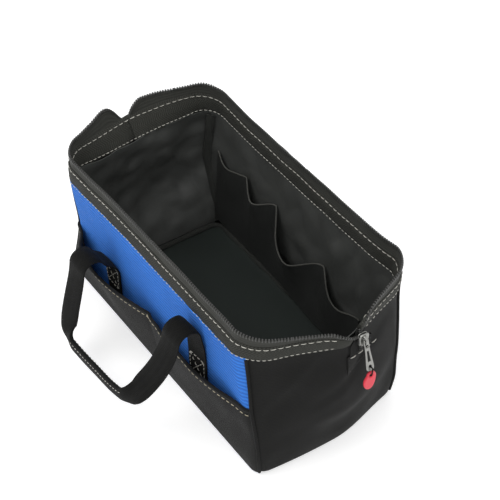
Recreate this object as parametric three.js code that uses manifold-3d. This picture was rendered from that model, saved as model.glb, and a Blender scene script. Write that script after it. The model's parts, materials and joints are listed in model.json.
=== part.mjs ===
// Zippered tool bag with a wide wire-framed mouth, standing open.
// Millimetres, +Z up. X runs along the bag, with the parked zip slider at the +X end.
// -Y is the front. The origin is the centre of the base, on the surface it stands on.
import * as THREE from 'three';
import Module from 'manifold-3d';
import { mergeVertices } from 'three/addons/utils/BufferGeometryUtils.js';

const wasm = await Module();
wasm.setup();

// Driving dimensions
const BASE_LENGTH = 344;
const BASE_WIDTH = 168;
const BASE_CORNER = 10;
const MOUTH_SPREAD = 22;
const END_TAPER = 7;
const RIM_OVERHANG = 11;
const WALL_HEIGHT = 145;
const BAND_HEIGHT = 20;
const ZIP_STAND = 13;
const RIM_CORNER = 26;
const END_BULGE = 20.5;
const END_BULGE_RISE = 60;

// Sheet and wire thicknesses
const CLOTH = 2;
const LINING = 1.2;
const WEBBING = 1;
const ZIP_TAPE = 1;
const WIRE_RADIUS = 1.5;
const PIPING_RADIUS = 1.8;
const BOARD = 3;
const BOARD_INSET = 3;
const BOARD_SIDE_INSET = 4;

// Clearances between pieces that touch on the real bag
const SEAM_GAP = 0.3;
const FOLD_GAP = 0.4;
const CLOSED_ZIP_GAP = 1;

// Zip
const TOOTH_PITCH = 7;
const TOOTH_HEIGHT = 3.4;
const TOOTH_NOTCH = 1.2;
const TOOTH_HALF_WIDTH = 1.6;
const TOOTH_HALF_NECK = 0.9;

// Pockets
const POCKET_HEIGHT = 84;
const POCKET_GAPE = 17;
const POCKET_MIDDLE_GAPE = 8;
const POCKET_ROUNDNESS = 0.8;
const POCKET_CURL = 1.3;
const POCKET_CLOTH = 1.6;
const POCKET_SIDE_INSET = 2;
const HEM_RADIUS = 2;
const INNER_POCKET_HEIGHT = 100;
const INNER_POCKET_SLACK = 24;
const INNER_POCKET_GAPE = 13;
const INNER_POCKET_CURL = 1.4;
const INNER_POCKET_FOOT = 4;
const INNER_POCKET_SEAMS = [-146, -106, -34, 48, 140];
const INNER_HEM_RADIUS = 1;

// Handles
const HANDLE_SPREAD = 80;
const STRAP_WIDTH = 28;
const STRAP_THICK = 2;
const STRAP_SEWN_FROM = 34;
const STRAP_SEWN_TO = 86;
const BEND_RADIUS = 12;
const BEND_OUT = 18;
const BEND_HEIGHT = 116;
const HANDLE_TILT = 0.175;
const GRIP_HALF_LENGTH = 58;
const GRIP_HEIGHT = 50;
const GRIP_OUT = 72;
const GRIP_WIDTH = 14;
const GRIP_THICK = 5;
const GRIP_EDGE = 1;
const GRIP_SAG = 3;
const FOLD_FROM = 0.6;
const HANDLE_STEPS = 6;

// Rim frame pivot
const EYE_RADIUS = 4.5;
const EYE_BORE = 1.7;
const RIVET_RADIUS = 1.4;
const RIVET_HEAD_RADIUS = 3;
const RIVET_HEAD = 1.2;
const PIVOT_CLEAR = 7;
const RIM_CORNER_STEPS = 6;

// Slider, pull and tag
const SLIDER_WIDTH = 11;
const SLIDER_LENGTH = 14;
const SLIDER_PLATE = 1.6;
const SLIDER_EDGE = 0.4;
const SLIDER_TAPER = 0.72;
const SLIDER_FLANGE = 1.2;
const SLIDER_Y = 17;
const SLIDER_TOP = 153.5;
const TAIL_WIDTH = 24;
const TAIL_LENGTH = 40;
const TAIL_THICK = 1;
const TAIL_TEETH = 2.2;
const TAIL_TEETH_WIDTH = 4;
const TAIL_TEETH_START = 2;
const TAIL_RISE = 12;
const TAIL_LEAN = 0.12;
const BRIDGE_WIRE = 1.1;
const BRIDGE_RISE = 4.6;
const BRIDGE_REACH = 0.36;
const BRIDGE_SUNK = 0.6;
const PULL_LENGTH = 34;
const PULL_NECK = 6;
const PULL_BAR = 1.6;
const PULL_EYE = 7;
const PULL_RAIL = 1.2;
const PULL_FLARE = 9;
const PULL_END = 4;
const PULL_THICK = 1.5;
const PULL_SLOT_DROP = 2.5;
const PULL_SLOT_TOP = 1.4;
const PULL_SLOT_LOW = 2.2;
const PULL_SLOT_RISE = 12;
const PULL_HANG = 0.3;
const CORD_HOLE_RISE = 5;
const CORD_HOLE_RADIUS = 1.6;
const TAG_LENGTH = 24;
const TAG_WIDTH = 14;
const TAG_THICK = 3;
const TAG_EDGE = 0.8;
const TAG_EDGE_OUT = 0.6;
const TAG_HOLE_DROP = 3.6;
const TAG_HOLE_RADIUS = 2.2;
const TAG_CORD_RADIUS = 0.7;
const TAG_CORD_LENGTH = 12;
const PATCH_WIDTH = 38;
const PATCH_HEIGHT = 22;
const PATCH_THICK = 1.5;
const PATCH_SHIFT = 5;

// Lean of the long walls, and what follows from it
const MOUTH_WIDTH = BASE_WIDTH + MOUTH_SPREAD;
const WALL_TOP_LENGTH = BASE_LENGTH - END_TAPER;
const RIM_LENGTH = WALL_TOP_LENGTH + RIM_OVERHANG;
const LEAN = Math.atan((MOUTH_WIDTH - BASE_WIDTH) / 2 / (WALL_HEIGHT + BAND_HEIGHT));
const WIRE_DEPTH = WEBBING + SEAM_GAP + WIRE_RADIUS;
const LAYER = 2 * WIRE_DEPTH + FOLD_GAP;
const WIRE_HEIGHT = WALL_HEIGHT + 0.6 * BAND_HEIGHT;
const BAND_BELOW = 0.6 * BAND_HEIGHT;
const BAND_ABOVE = BAND_HEIGHT - BAND_BELOW;
const ZIP_TOP = BAND_ABOVE + ZIP_STAND;
const RIM_Y = BASE_WIDTH / 2 + WIRE_HEIGHT * Math.sin(LEAN) - WIRE_DEPTH * Math.cos(LEAN);
const RIM_Z = WIRE_HEIGHT * Math.cos(LEAN) + WIRE_DEPTH * Math.sin(LEAN);
const FLOOR_TOP = CLOTH + SEAM_GAP + BOARD + SEAM_GAP + LINING;
const WALL_FOOT = CLOTH + 3 * SEAM_GAP;
const SEWN_FOOT = WALL_FOOT + 1;
const LINING_FOOT = FLOOR_TOP + 2;
const END_STACK = CLOTH + SEAM_GAP + LINING;

// The walls fold in about their feet, and the rim about the lower inner edge of its band,
// until the two rows of teeth meet over the middle
const FOOT_Y = BASE_WIDTH / 2 - CLOTH / 2;
const FOLD_Y = RIM_Y - WIRE_DEPTH;
const FOLD_Z = RIM_Z - BAND_BELOW;
const WALL_ARM = Math.hypot(FOLD_Y - FOOT_Y, FOLD_Z - WALL_FOOT);
const CLOSED_LEAN = Math.asin((FOOT_Y - ZIP_TOP - BAND_BELOW - CLOSED_ZIP_GAP) / WALL_ARM);

const COLOURS = {
  blue: [0x2f6fe0, 0.85, 0],
  black: [0x1c1c1d, 0.85, 0],
  lining: [0x222424, 0.7, 0],
  webbing: [0x262624, 0.9, 0],
  zip: [0x2a2a28, 0.6, 0],
  board: [0x2a2d2c, 0.75, 0],
  steel: [0x8d8d88, 0.35, 0.9],
  red: [0xe83a4c, 0.55, 0],
};

function finish(name) {
  const [color, roughness, metalness] = COLOURS[name];
  return new THREE.MeshStandardMaterial({ color, roughness, metalness });
}

function piece(name, geometry, colour) {
  const mesh = new THREE.Mesh(geometry, finish(colour));
  mesh.name = name;
  return mesh;
}

function point(x, y, z) {
  return new THREE.Vector3(x, y, z);
}

function mix(from, to, share) {
  return from + (to - from) * share;
}

// Signed square root, which squares off a circle's run
function squared(value) {
  return Math.sign(value) * Math.sqrt(Math.abs(value));
}

function signedVolume(positions, index) {
  const corners = [point(), point(), point()];
  let volume = 0;
  for (let i = 0; i < index.length; i += 3) {
    corners.forEach((corner, k) => corner.fromArray(positions, 3 * index[i + k]));
    volume += corners[0].dot(corners[1].cross(corners[2])) / 6;
  }
  return volume;
}

// Rings and their triangles as a geometry whose faces look outward
function outwardSolid(rings, index) {
  const positions = rings.flat().flatMap((p) => [p.x, p.y, p.z]);
  if (signedVolume(positions, index) < 0) {
    index.reverse();
  }
  const geometry = new THREE.BufferGeometry();
  geometry.setAttribute('position', new THREE.Float32BufferAttribute(positions, 3));
  geometry.setIndex(index);
  return geometry;
}

// A closed solid through a row of rings with the same even number of points.
// In each ring the second half runs back beside the first, so the ends close as strips.
function loft(rings) {
  const count = rings[0].length;
  const index = [];
  const quad = (a, b, c, d) => index.push(a, b, c, b, d, c);
  for (let i = 0; i + 1 < rings.length; i += 1) {
    for (let j = 0; j < count; j += 1) {
      const next = (j + 1) % count;
      const corners = [i * count + j, i * count + next, (i + 1) * count + j, (i + 1) * count + next];
      const [a, b, c, d] = j < count / 2 ? corners : [corners[2], corners[0], corners[3], corners[1]];
      quad(a, b, c, d);
    }
  }
  const last = (rings.length - 1) * count;
  for (let j = 0; j + 1 < count / 2; j += 1) {
    const back = count - 1 - j;
    quad(j + 1, j, back - 1, back);
    quad(last + j, last + j + 1, last + back, last + back - 1);
  }
  return outwardSolid(rings, index);
}

// A closed ring solid through a loop of equal rings
function loopOf(rings) {
  const count = rings[0].length;
  const index = [];
  rings.forEach((_, i) => {
    const next = (i + 1) % rings.length;
    for (let j = 0; j < count; j += 1) {
      const side = (j + 1) % count;
      index.push(i * count + j, i * count + side, next * count + j);
      index.push(i * count + side, next * count + side, next * count + j);
    }
  });
  return outwardSolid(rings, index);
}

function shares(steps) {
  return Array.from({ length: steps + 1 }, (_, i) => i / steps);
}

// A sheet with a face and a back, each a function of a share across and a row value
function sheet(face, back, across, rows) {
  const columns = shares(across);
  return loft(rows.map((row) => [
    ...columns.map((column) => face(column, row)),
    ...columns.map((column) => back(column, row)).reverse(),
  ]));
}

// A round bar along a list of points, with rings square to its run
function bar(points, radius, sides) {
  const side = point();
  const rings = points.map((centre, i) => {
    const ahead = points[Math.min(i + 1, points.length - 1)];
    const behind = points[Math.max(i - 1, 0)];
    const tangent = ahead.clone().sub(behind).normalize();
    if (i === 0) {
      const steep = Math.abs(tangent.z) > 0.9;
      side.set(steep ? 1 : 0, 0, steep ? 0 : 1);
    }
    side.addScaledVector(tangent, -side.dot(tangent)).normalize();
    const other = point().crossVectors(tangent, side);
    return Array.from({ length: sides }, (_, k) => {
      const turn = (2 * Math.PI * (k + 0.5)) / sides;
      return centre.clone()
        .addScaledVector(side, radius * Math.cos(turn))
        .addScaledVector(other, radius * Math.sin(turn));
    });
  });
  return loft(rings);
}

function toSolid(geometry) {
  const plain = geometry.clone();
  plain.deleteAttribute('normal');
  plain.deleteAttribute('uv');
  const merged = mergeVertices(plain, 1e-4);
  return new wasm.Manifold(new wasm.Mesh({
    numProp: 3,
    vertProperties: new Float32Array(merged.attributes.position.array),
    triVerts: new Uint32Array(merged.index.array),
  }));
}

function fromSolid(solid) {
  const mesh = solid.getMesh();
  const geometry = new THREE.BufferGeometry();
  geometry.setAttribute('position', new THREE.Float32BufferAttribute(mesh.vertProperties, 3));
  geometry.setIndex(new THREE.Uint32BufferAttribute(mesh.triVerts, 1));
  return geometry;
}

function fuse(...geometries) {
  return fromSolid(geometries.map(toSolid).reduce((whole, part) => whole.add(part)));
}

function cut(geometry, ...tools) {
  return fromSolid(tools.map(toSolid).reduce((whole, tool) => whole.subtract(tool), toSolid(geometry)));
}

// A cylinder whose axis lies along X
function discAlongX(radius, from, to, y, z, sides = 16) {
  const geometry = new THREE.CylinderGeometry(radius, radius, Math.abs(to - from), sides);
  geometry.rotateZ(Math.PI / 2);
  geometry.translate((from + to) / 2, y, z);
  return geometry;
}

function box(width, depth, height, x, y, z) {
  const geometry = new THREE.BoxGeometry(width, depth, height);
  geometry.translate(x, y, z);
  return geometry;
}

// A plate drawn in Y and Z that stands facing +X, with its back at x and its edges rounded
function facingPlate(shape, thickness, edge, edgeOut, x, z) {
  const geometry = new THREE.ExtrudeGeometry(shape, {
    depth: thickness - 2 * edge,
    bevelEnabled: edge > 0,
    bevelThickness: edge,
    bevelSize: edgeOut,
    bevelSegments: 2,
    curveSegments: 5,
  });
  geometry.rotateX(Math.PI / 2);
  geometry.rotateZ(Math.PI / 2);
  geometry.translate(x + edge, SLIDER_Y, z);
  return geometry;
}

// Outer face of an end panel at its corner seams, and over the bulge between them
function endSeamX(z) {
  return mix(BASE_LENGTH, WALL_TOP_LENGTH, z / WALL_HEIGHT) / 2;
}

function endFaceX(y, z) {
  const rise = Math.min(z / END_BULGE_RISE, 1);
  const swell = END_BULGE * (1 - (1 - rise) ** 2);
  return endSeamX(z) + swell * (1 - (2 * y / BASE_WIDTH) ** 2);
}

// Half width of the part of an end panel that still stands when the mouth is shut
function standingHalf(z) {
  const foot = FOOT_Y - (END_STACK - CLOTH / 2) / Math.cos(CLOSED_LEAN);
  return foot - 2 * FOLD_GAP - (z - WALL_FOOT) * Math.tan(CLOSED_LEAN);
}

// Inner face of a long wall at rest, seen from the bag's middle
function wallInnerY(z) {
  return BASE_WIDTH / 2 + z * Math.tan(LEAN) - END_STACK / Math.cos(LEAN);
}

function roundedPlate(length, width, corner, bottom, thickness) {
  const shape = new THREE.Shape();
  const x = length / 2;
  const y = width / 2;
  shape.moveTo(-x + corner, -y);
  shape.lineTo(x - corner, -y);
  shape.absarc(x - corner, -y + corner, corner, -Math.PI / 2, 0);
  shape.lineTo(x, y - corner);
  shape.absarc(x - corner, y - corner, corner, 0, Math.PI / 2);
  shape.lineTo(-x + corner, y);
  shape.absarc(-x + corner, y - corner, corner, Math.PI / 2, Math.PI);
  shape.lineTo(-x, -y + corner);
  shape.absarc(-x + corner, -y + corner, corner, Math.PI, 1.5 * Math.PI);
  const settings = { depth: thickness, bevelEnabled: false, curveSegments: 5 };
  const geometry = new THREE.ExtrudeGeometry(shape, settings);
  geometry.translate(0, 0, bottom);
  return geometry;
}

function makeFloor() {
  const boardZ = CLOTH + SEAM_GAP;
  const liningZ = boardZ + BOARD + SEAM_GAP;
  const length = BASE_LENGTH - 2 * (END_STACK + SEAM_GAP + BOARD_INSET);
  const width = BASE_WIDTH - 2 * (END_STACK + SEAM_GAP + BOARD_SIDE_INSET);
  return [
    piece('bottom_panel', roundedPlate(BASE_LENGTH, BASE_WIDTH, BASE_CORNER, 0, CLOTH), 'black'),
    piece('base_board', roundedPlate(length, width, BASE_CORNER, boardZ, BOARD), 'board'),
    piece('bottom_lining', roundedPlate(length, width, BASE_CORNER, liningZ, LINING), 'lining'),
  ];
}

// One layer of an end panel between two half widths, as a sheet that follows the bulge
function endSheet(end, depth, thickness, from, to, low, across) {
  const at = (inset) => (s, z) => {
    const y = mix(from(z), to(z), s);
    return point(end * (endFaceX(y, z) - inset), y, z);
  };
  return sheet(at(depth), at(depth + thickness), across, [low, ...END_ROWS.filter((z) => z > low)]);
}

const END_TOP = WALL_HEIGHT * Math.cos(LEAN) - 2 * SEAM_GAP;
const GUSSET_FOOT = 12;
const END_ROWS = [LINING_FOOT, GUSSET_FOOT, 26, 42, END_BULGE_RISE, 100, END_TOP];
const ENDS = [['near', 1], ['far', -1]];
const SIDES = [['front', -1], ['rear', 1]];

function makeEndPanels() {
  const left = (z) => -standingHalf(z);
  const liningDepth = CLOTH + SEAM_GAP;
  return ENDS.flatMap(([name, end]) => [
    piece(`${name}_end_panel`, endSheet(end, 0, CLOTH, left, standingHalf, WALL_FOOT, 8), 'black'),
    piece(`${name}_end_lining`,
      endSheet(end, liningDepth, LINING, left, standingHalf, LINING_FOOT, 8), 'lining'),
  ]);
}

// The upper corners of the end panels crease and fold away with the long walls
function makeGussets() {
  const liningDepth = CLOTH + SEAM_GAP;
  const pieces = [];
  for (const [endName, end] of ENDS) {
    for (const [sideName, side] of SIDES) {
      const crease = (z) => side * (standingHalf(z) + FOLD_GAP);
      const seam = (z) => side * (wallInnerY(z) - FOLD_GAP);
      const name = `${sideName}_${endName}_gusset`;
      pieces.push(piece(name, endSheet(end, 0, CLOTH, crease, seam, GUSSET_FOOT, 4), 'black'));
      pieces.push(piece(`${name}_lining`,
        endSheet(end, liningDepth, LINING, crease, seam, GUSSET_FOOT, 4), 'lining'));
    }
  }
  return pieces;
}

// Pieces of a long wall are drawn with the wall upright: -y is outward and z runs up its face
function wallSheet(halfLength, outward, thickness, low, high) {
  const at = (y) => (s, t) => {
    const z = mix(low, high, t);
    return point(mix(-halfLength(z), halfLength(z), s), y, z);
  };
  return sheet(at(-outward), at(-outward + thickness), 1, [0, 1]);
}

// Each outer pocket hangs open, most of all midway between its side and the middle bartack
function pocketSwell(x) {
  const turn = (Math.PI * x) / pocketHalf();
  return POCKET_GAPE * Math.abs(Math.sin(turn)) ** POCKET_ROUNDNESS + POCKET_MIDDLE_GAPE * Math.cos(turn / 2);
}

function pocketHalf() {
  return endSeamX(POCKET_HEIGHT) - POCKET_SIDE_INSET;
}

function pocketFace(x, share) {
  const z = mix(SEWN_FOOT, POCKET_HEIGHT, share);
  return point(x, -SEAM_GAP - POCKET_CLOTH - pocketSwell(x) * share ** POCKET_CURL, z);
}

function makePocket(name) {
  const across = 16;
  const face = (s, t) => pocketFace(mix(-pocketHalf(), pocketHalf(), s), t);
  const back = (s, t) => face(s, t).add(point(0, POCKET_CLOTH, 0));
  const edge = Array.from({ length: across + 1 }, (_, j) => face(j / across, 1)
    .add(point(0, POCKET_CLOTH / 2 - SEAM_GAP, HEM_RADIUS + SEAM_GAP)));
  edge.forEach((p) => {
    p.y = Math.min(p.y, -HEM_RADIUS - SEAM_GAP);
  });
  return [
    piece(`${name}_pocket_panel`, sheet(face, back, across, shares(4)), 'black'),
    piece(`${name}_pocket_hem`, bar(edge, HEM_RADIUS, 6), 'black'),
  ];
}

function makePiping(name, end) {
  const offset = (PIPING_RADIUS + 1.5 * SEAM_GAP) / Math.SQRT2;
  const run = shares(2).map((share) => {
    const z = mix(SEWN_FOOT, WALL_HEIGHT - WEBBING, share);
    return point(end * (endSeamX(z) + offset), -offset, z);
  });
  return piece(name, bar(run, PIPING_RADIUS, 8), 'black');
}

// The handle hangs a little askew, so its two bends stand at different heights
function bendHeight(x) {
  return BEND_HEIGHT + x * HANDLE_TILT;
}

// Sewn foot of a handle strap, its rise off the wall and its bend over the pocket edge
function makeHandleLeg(name, x) {
  const outside = BEND_RADIUS + STRAP_THICK;
  const run = [[-SEAM_GAP, STRAP_SEWN_FROM], [-SEAM_GAP, STRAP_SEWN_TO]];
  for (const share of shares(HANDLE_STEPS)) {
    const turn = Math.PI * share;
    run.push([-BEND_OUT + outside * Math.cos(turn), bendHeight(x) + outside * Math.sin(turn)]);
  }
  run.push([-BEND_OUT - outside, bendHeight(x) - STRAP_THICK / 2]);
  const rings = run.map(([y, z], i) => {
    const before = run[Math.max(i - 1, 0)];
    const after = run[Math.min(i + 1, run.length - 1)];
    const tangent = new THREE.Vector2(after[0] - before[0], after[1] - before[1]).normalize();
    const inner = [y - tangent.y * STRAP_THICK, z + tangent.x * STRAP_THICK];
    const half = STRAP_WIDTH / 2;
    return [point(x - half, y, z), point(x + half, y, z), point(x + half, ...inner), point(x - half, ...inner)];
  });
  return piece(name, loft(rings), 'webbing');
}

// The hanging strap: a flat part down from each bend and the folded grip between them
function makeStrap(name) {
  const topY = -BEND_OUT - BEND_RADIUS - STRAP_THICK / 2;
  const legs = [1, -1].map((end) => {
    const topZ = bendHeight(end * HANDLE_SPREAD) - STRAP_THICK / 2 - SEAM_GAP;
    const gripZ = GRIP_HEIGHT + end * GRIP_HALF_LENGTH * HANDLE_TILT;
    return loft(shares(HANDLE_STEPS).map((share) => {
      const x = end * mix(HANDLE_SPREAD, GRIP_HALF_LENGTH, share ** 2);
      const y = mix(topY, -GRIP_OUT, share ** 1.3);
      const z = mix(topZ, gripZ, share);
      const folded = Math.max(0, share - FOLD_FROM) / (1 - FOLD_FROM);
      const half = mix(STRAP_WIDTH, GRIP_WIDTH, folded) / 2;
      const thick = mix(STRAP_THICK, GRIP_THICK, folded) / 2;
      return [
        point(x - half, y - thick, z), point(x + half, y - thick, z),
        point(x + half, y + thick, z), point(x - half, y + thick, z),
      ];
    }));
  });
  const half = GRIP_WIDTH / 2;
  const thick = GRIP_THICK / 2;
  const reach = GRIP_HALF_LENGTH + half;
  const grip = loft(shares(HANDLE_STEPS).map((share) => {
    const x = mix(-reach, reach, share);
    const z = GRIP_HEIGHT + x * HANDLE_TILT - GRIP_SAG * (1 - (x / reach) ** 2);
    const corner = (side, level, dy, dz) => point(x, -GRIP_OUT + side * (thick - dy), z + level * (half - dz));
    const upright = (side, level) => corner(side, level, 0, GRIP_EDGE);
    const level = (side, up) => corner(side, up, GRIP_EDGE, 0);
    return [
      upright(-1, -1), level(-1, -1), level(1, -1), upright(1, -1),
      upright(1, 1), level(1, 1), level(-1, 1), upright(-1, 1),
    ];
  }));
  return piece(name, fuse(...legs, grip), 'webbing');
}

function makeInnerPocket() {
  const inner = END_STACK + SEAM_GAP;
  const first = INNER_POCKET_SEAMS[0];
  const last = INNER_POCKET_SEAMS[INNER_POCKET_SEAMS.length - 1];
  const slack = (x) => {
    const next = INNER_POCKET_SEAMS.findIndex((seam) => seam > x - 1e-6);
    const b = INNER_POCKET_SEAMS[Math.max(next, 1)];
    const a = INNER_POCKET_SEAMS[Math.max(next, 1) - 1];
    return Math.sin((Math.PI * (x - a)) / (b - a)) ** 2;
  };
  const across = 32;
  const place = (s, t, extra) => {
    const x = mix(first, last, s);
    const top = INNER_POCKET_HEIGHT - INNER_POCKET_SLACK * slack(x);
    const z = mix(LINING_FOOT + INNER_POCKET_FOOT, top, t);
    return point(-x, inner + extra + INNER_POCKET_GAPE * slack(x) * t ** INNER_POCKET_CURL, z);
  };
  const face = (s, t) => place(s, t, LINING);
  const back = (s, t) => place(s, t, 0);
  const edge = Array.from({ length: across + 1 }, (_, j) => face(j / across, 1)
    .add(point(0, INNER_HEM_RADIUS - LINING, 1.4 * INNER_HEM_RADIUS + SEAM_GAP)));
  return [
    piece('inner_pocket_panel', sheet(face, back, across, shares(3)), 'lining'),
    piece('inner_pocket_binding', bar(edge, INNER_HEM_RADIUS, 4), 'webbing'),
  ];
}

function makeWall(name, nearSign) {
  const wall = new THREE.Group();
  wall.position.y = -BASE_WIDTH / 2;
  wall.rotation.x = LEAN;
  const top = WALL_HEIGHT - SEAM_GAP;
  const liningHalf = (z) => endSeamX(z) - END_STACK - END_STACK;
  wall.add(
    piece(`${name}_outer_panel`, wallSheet(endSeamX, 0, CLOTH, WALL_FOOT, top), 'blue'),
    piece(`${name}_lining`, wallSheet(liningHalf, -CLOTH - SEAM_GAP, LINING, LINING_FOOT, top), 'lining'),
    ...makePocket(name),
    makePiping(`${name}_near_piping`, nearSign),
    makePiping(`${name}_far_piping`, -nearSign),
    makeHandleLeg(`${name}_near_handle_leg`, nearSign * HANDLE_SPREAD),
    makeHandleLeg(`${name}_far_handle_leg`, -nearSign * HANDLE_SPREAD),
    makeStrap(`${name}_handle_strap`),
  );
  if (name === 'rear') {
    wall.add(...makeInnerPocket());
  }
  return wall;
}

// Plan of one half of the mouth frame, from the near pivot round the long side to the far one
function rimPath(legX, clear) {
  const path = new THREE.Path();
  const cornerX = legX - RIM_CORNER;
  const cornerY = -RIM_Y + RIM_CORNER;
  path.moveTo(legX, -clear);
  path.lineTo(legX, cornerY);
  path.absarc(cornerX, cornerY, RIM_CORNER, 0, -Math.PI / 2, true);
  path.lineTo(-cornerX, -RIM_Y);
  path.absarc(-cornerX, cornerY, RIM_CORNER, -Math.PI / 2, -Math.PI, true);
  path.lineTo(-legX, -clear);
  return path;
}

function withNormals(points) {
  return points.map((p, i) => {
    const before = points[Math.max(i - 1, 0)];
    const after = points[Math.min(i + 1, points.length - 1)];
    const tangent = after.clone().sub(before).normalize();
    return { p, out: new THREE.Vector2(-tangent.y, tangent.x) };
  });
}

function rimPoints(legX, clear) {
  const points = rimPath(legX, clear).getPoints(RIM_CORNER_STEPS);
  return points.filter((p, i) => i === 0 || p.distanceTo(points[i - 1]) > 1e-6);
}

// A strip standing on the rim's plan, between two offsets and two heights over the wire
function rimStrip(points, inside, outside, low, high) {
  const rings = withNormals(points).map(({ p, out }) => {
    const at = (offset, z) => point(p.x + out.x * offset, p.y + out.y * offset, z);
    return [at(inside, low), at(outside, low), at(outside, high), at(inside, high)];
  });
  return loft(rings);
}

function rimTeeth(points, low, high) {
  const rings = withNormals(points).map(({ p, out }, i) => {
    const tooth = i % 2 === 0;
    const half = tooth ? TOOTH_HALF_WIDTH : TOOTH_HALF_NECK;
    const top = tooth ? high : high - TOOTH_NOTCH;
    const at = (offset, z) => point(p.x + out.x * offset, p.y + out.y * offset, z);
    return [at(-half, low), at(half, low), at(half, top), at(-half, top)];
  });
  return loft(rings);
}

function frameWire(legX) {
  const points = rimPoints(legX, EYE_RADIUS - 1).map((p) => point(p.x, p.y, 0));
  const half = LAYER / 2 - SEAM_GAP;
  const eyes = [1, -1].map((end) => {
    const eye = discAlongX(EYE_RADIUS, end * legX - half, end * legX + half, 0, 0);
    return cut(eye, discAlongX(EYE_BORE, end * legX - LAYER, end * legX + LAYER, 0, 0));
  });
  return fuse(bar(points, WIRE_RADIUS, 6), ...eyes);
}

function makeGate(name, legX) {
  const gate = new THREE.Group();
  gate.position.z = RIM_Z;
  const clothPoints = rimPoints(legX, PIVOT_CLEAR);
  const faceOffset = WIRE_RADIUS + SEAM_GAP;
  const toothLow = ZIP_TOP - TOOTH_HEIGHT;
  const toothPath = rimPath(legX, PIVOT_CLEAR);
  const toothSteps = 2 * Math.round(toothPath.getLength() / TOOTH_PITCH);
  gate.add(
    piece(`${name}_frame_wire`, frameWire(legX), 'steel'),
    piece(`${name}_outer_band`,
      rimStrip(clothPoints, faceOffset, faceOffset + WEBBING, -BAND_BELOW, BAND_ABOVE), 'webbing'),
    piece(`${name}_inner_band`,
      rimStrip(clothPoints, -faceOffset - WEBBING, -faceOffset, -BAND_BELOW, BAND_ABOVE), 'webbing'),
    piece(`${name}_zip_tape`,
      rimStrip(clothPoints, -ZIP_TAPE / 2, ZIP_TAPE / 2, faceOffset, toothLow - SEAM_GAP), 'zip'),
    piece(`${name}_zip_teeth`, rimTeeth(toothPath.getSpacedPoints(toothSteps), toothLow, ZIP_TOP), 'zip'),
  );
  return gate;
}

// The rivets turn with the front half of the frame
function makeRivet(name, end) {
  const half = LAYER / 2 - SEAM_GAP;
  const outer = FRONT_LEG_X + half + SEAM_GAP;
  const shank = discAlongX(RIVET_RADIUS, end * (FRONT_LEG_X - half), end * (outer + RIVET_HEAD / 2), 0, RIM_Z);
  const head = discAlongX(RIVET_HEAD_RADIUS, end * outer, end * (outer + RIVET_HEAD), 0, RIM_Z);
  return piece(name, fuse(shank, head), 'steel');
}

// The zip's joined tail lies on the near end panel, under a sewn patch
function tailFace(y, z, proud) {
  const onPanel = endFaceX(y, Math.min(z, END_TOP)) + SEAM_GAP + proud;
  const lean = Math.max(0, z - END_TOP) * TAIL_LEAN;
  return point(onPanel - lean, y, z);
}

function panelPatch(yMiddle, width, low, high, lift, thickness, across, along) {
  const at = (proud) => (s, t) => {
    const y = yMiddle + mix(-width, width, s) / 2;
    return tailFace(y, mix(low, high, t), proud);
  };
  return sheet(at(lift + thickness), at(lift), across, shares(along));
}

const TAIL_TOP = SLIDER_TOP + TAIL_RISE;
const TAIL_LOW = TAIL_TOP - TAIL_LENGTH;

function makeTail() {
  const tape = panelPatch(SLIDER_Y, TAIL_WIDTH, TAIL_LOW, TAIL_TOP, 0, TAIL_THICK, 4, 4);
  const teeth = panelPatch(SLIDER_Y, TAIL_TEETH_WIDTH, TAIL_LOW + TAIL_TEETH_START, TAIL_TOP,
    TAIL_THICK / 2, TAIL_TEETH, 2, 6);
  const patchTop = TAIL_LOW - SEAM_GAP;
  const patch = panelPatch(SLIDER_Y + PATCH_SHIFT, PATCH_WIDTH, patchTop - PATCH_HEIGHT, patchTop,
    0, PATCH_THICK, 4, 4);
  return [piece('zip_tail', fuse(tape, teeth), 'zip'), piece('zip_end_patch', patch, 'black')];
}

const SLIDER_MIDDLE = SLIDER_TOP - SLIDER_LENGTH / 2;
const SLIDER_BACK_X = tailFace(SLIDER_Y - SLIDER_WIDTH / 2, SLIDER_TOP - SLIDER_LENGTH, 0).x + FOLD_GAP
  + TAIL_THICK / 2 + TAIL_TEETH;
const BRIDGE_X = SLIDER_BACK_X + SLIDER_PLATE + 2 * SLIDER_EDGE + SEAM_GAP;

// Slider: a front plate with two flanges, between which the chain runs
function makeSlider() {
  const half = SLIDER_WIDTH / 2;
  const long = SLIDER_LENGTH / 2;
  const plate = new THREE.Shape();
  plate.moveTo(-half, long / 2);
  plate.quadraticCurveTo(-half, long, 0, long);
  plate.quadraticCurveTo(half, long, half, long / 2);
  plate.lineTo(half * SLIDER_TAPER, -long);
  plate.lineTo(-half * SLIDER_TAPER, -long);
  plate.closePath();
  const thickness = SLIDER_PLATE + 2 * SLIDER_EDGE;
  const front = facingPlate(plate, thickness, SLIDER_EDGE, SLIDER_EDGE, SLIDER_BACK_X, SLIDER_MIDDLE);
  const flangeDepth = TAIL_TEETH - TAIL_THICK / 2;
  const flangeX = SLIDER_BACK_X + (SLIDER_PLATE - flangeDepth) / 2;
  const flanges = [1, -1].map((side) => box(flangeDepth + SLIDER_PLATE, SLIDER_FLANGE, 1.6 * long,
    flangeX, SLIDER_Y + side * (half - SLIDER_EDGE), SLIDER_MIDDLE));
  return piece('slider_body', fuse(front, ...flanges), 'steel');
}

// The bridge arches over the slider's face and holds the pull
function makeBridge() {
  const reach = SLIDER_LENGTH * BRIDGE_REACH;
  const run = shares(8).map((share) => {
    const turn = Math.PI * share;
    const x = BRIDGE_X - BRIDGE_SUNK + BRIDGE_RISE * Math.sin(turn);
    return point(x, SLIDER_Y, SLIDER_MIDDLE + reach * Math.cos(turn));
  });
  const behind = box(2 * BRIDGE_RISE, SLIDER_WIDTH, 3 * reach, BRIDGE_X - BRIDGE_RISE, SLIDER_Y, SLIDER_MIDDLE);
  return piece('slider_bridge', cut(bar(run, BRIDGE_WIRE, 6), behind), 'steel');
}

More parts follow.
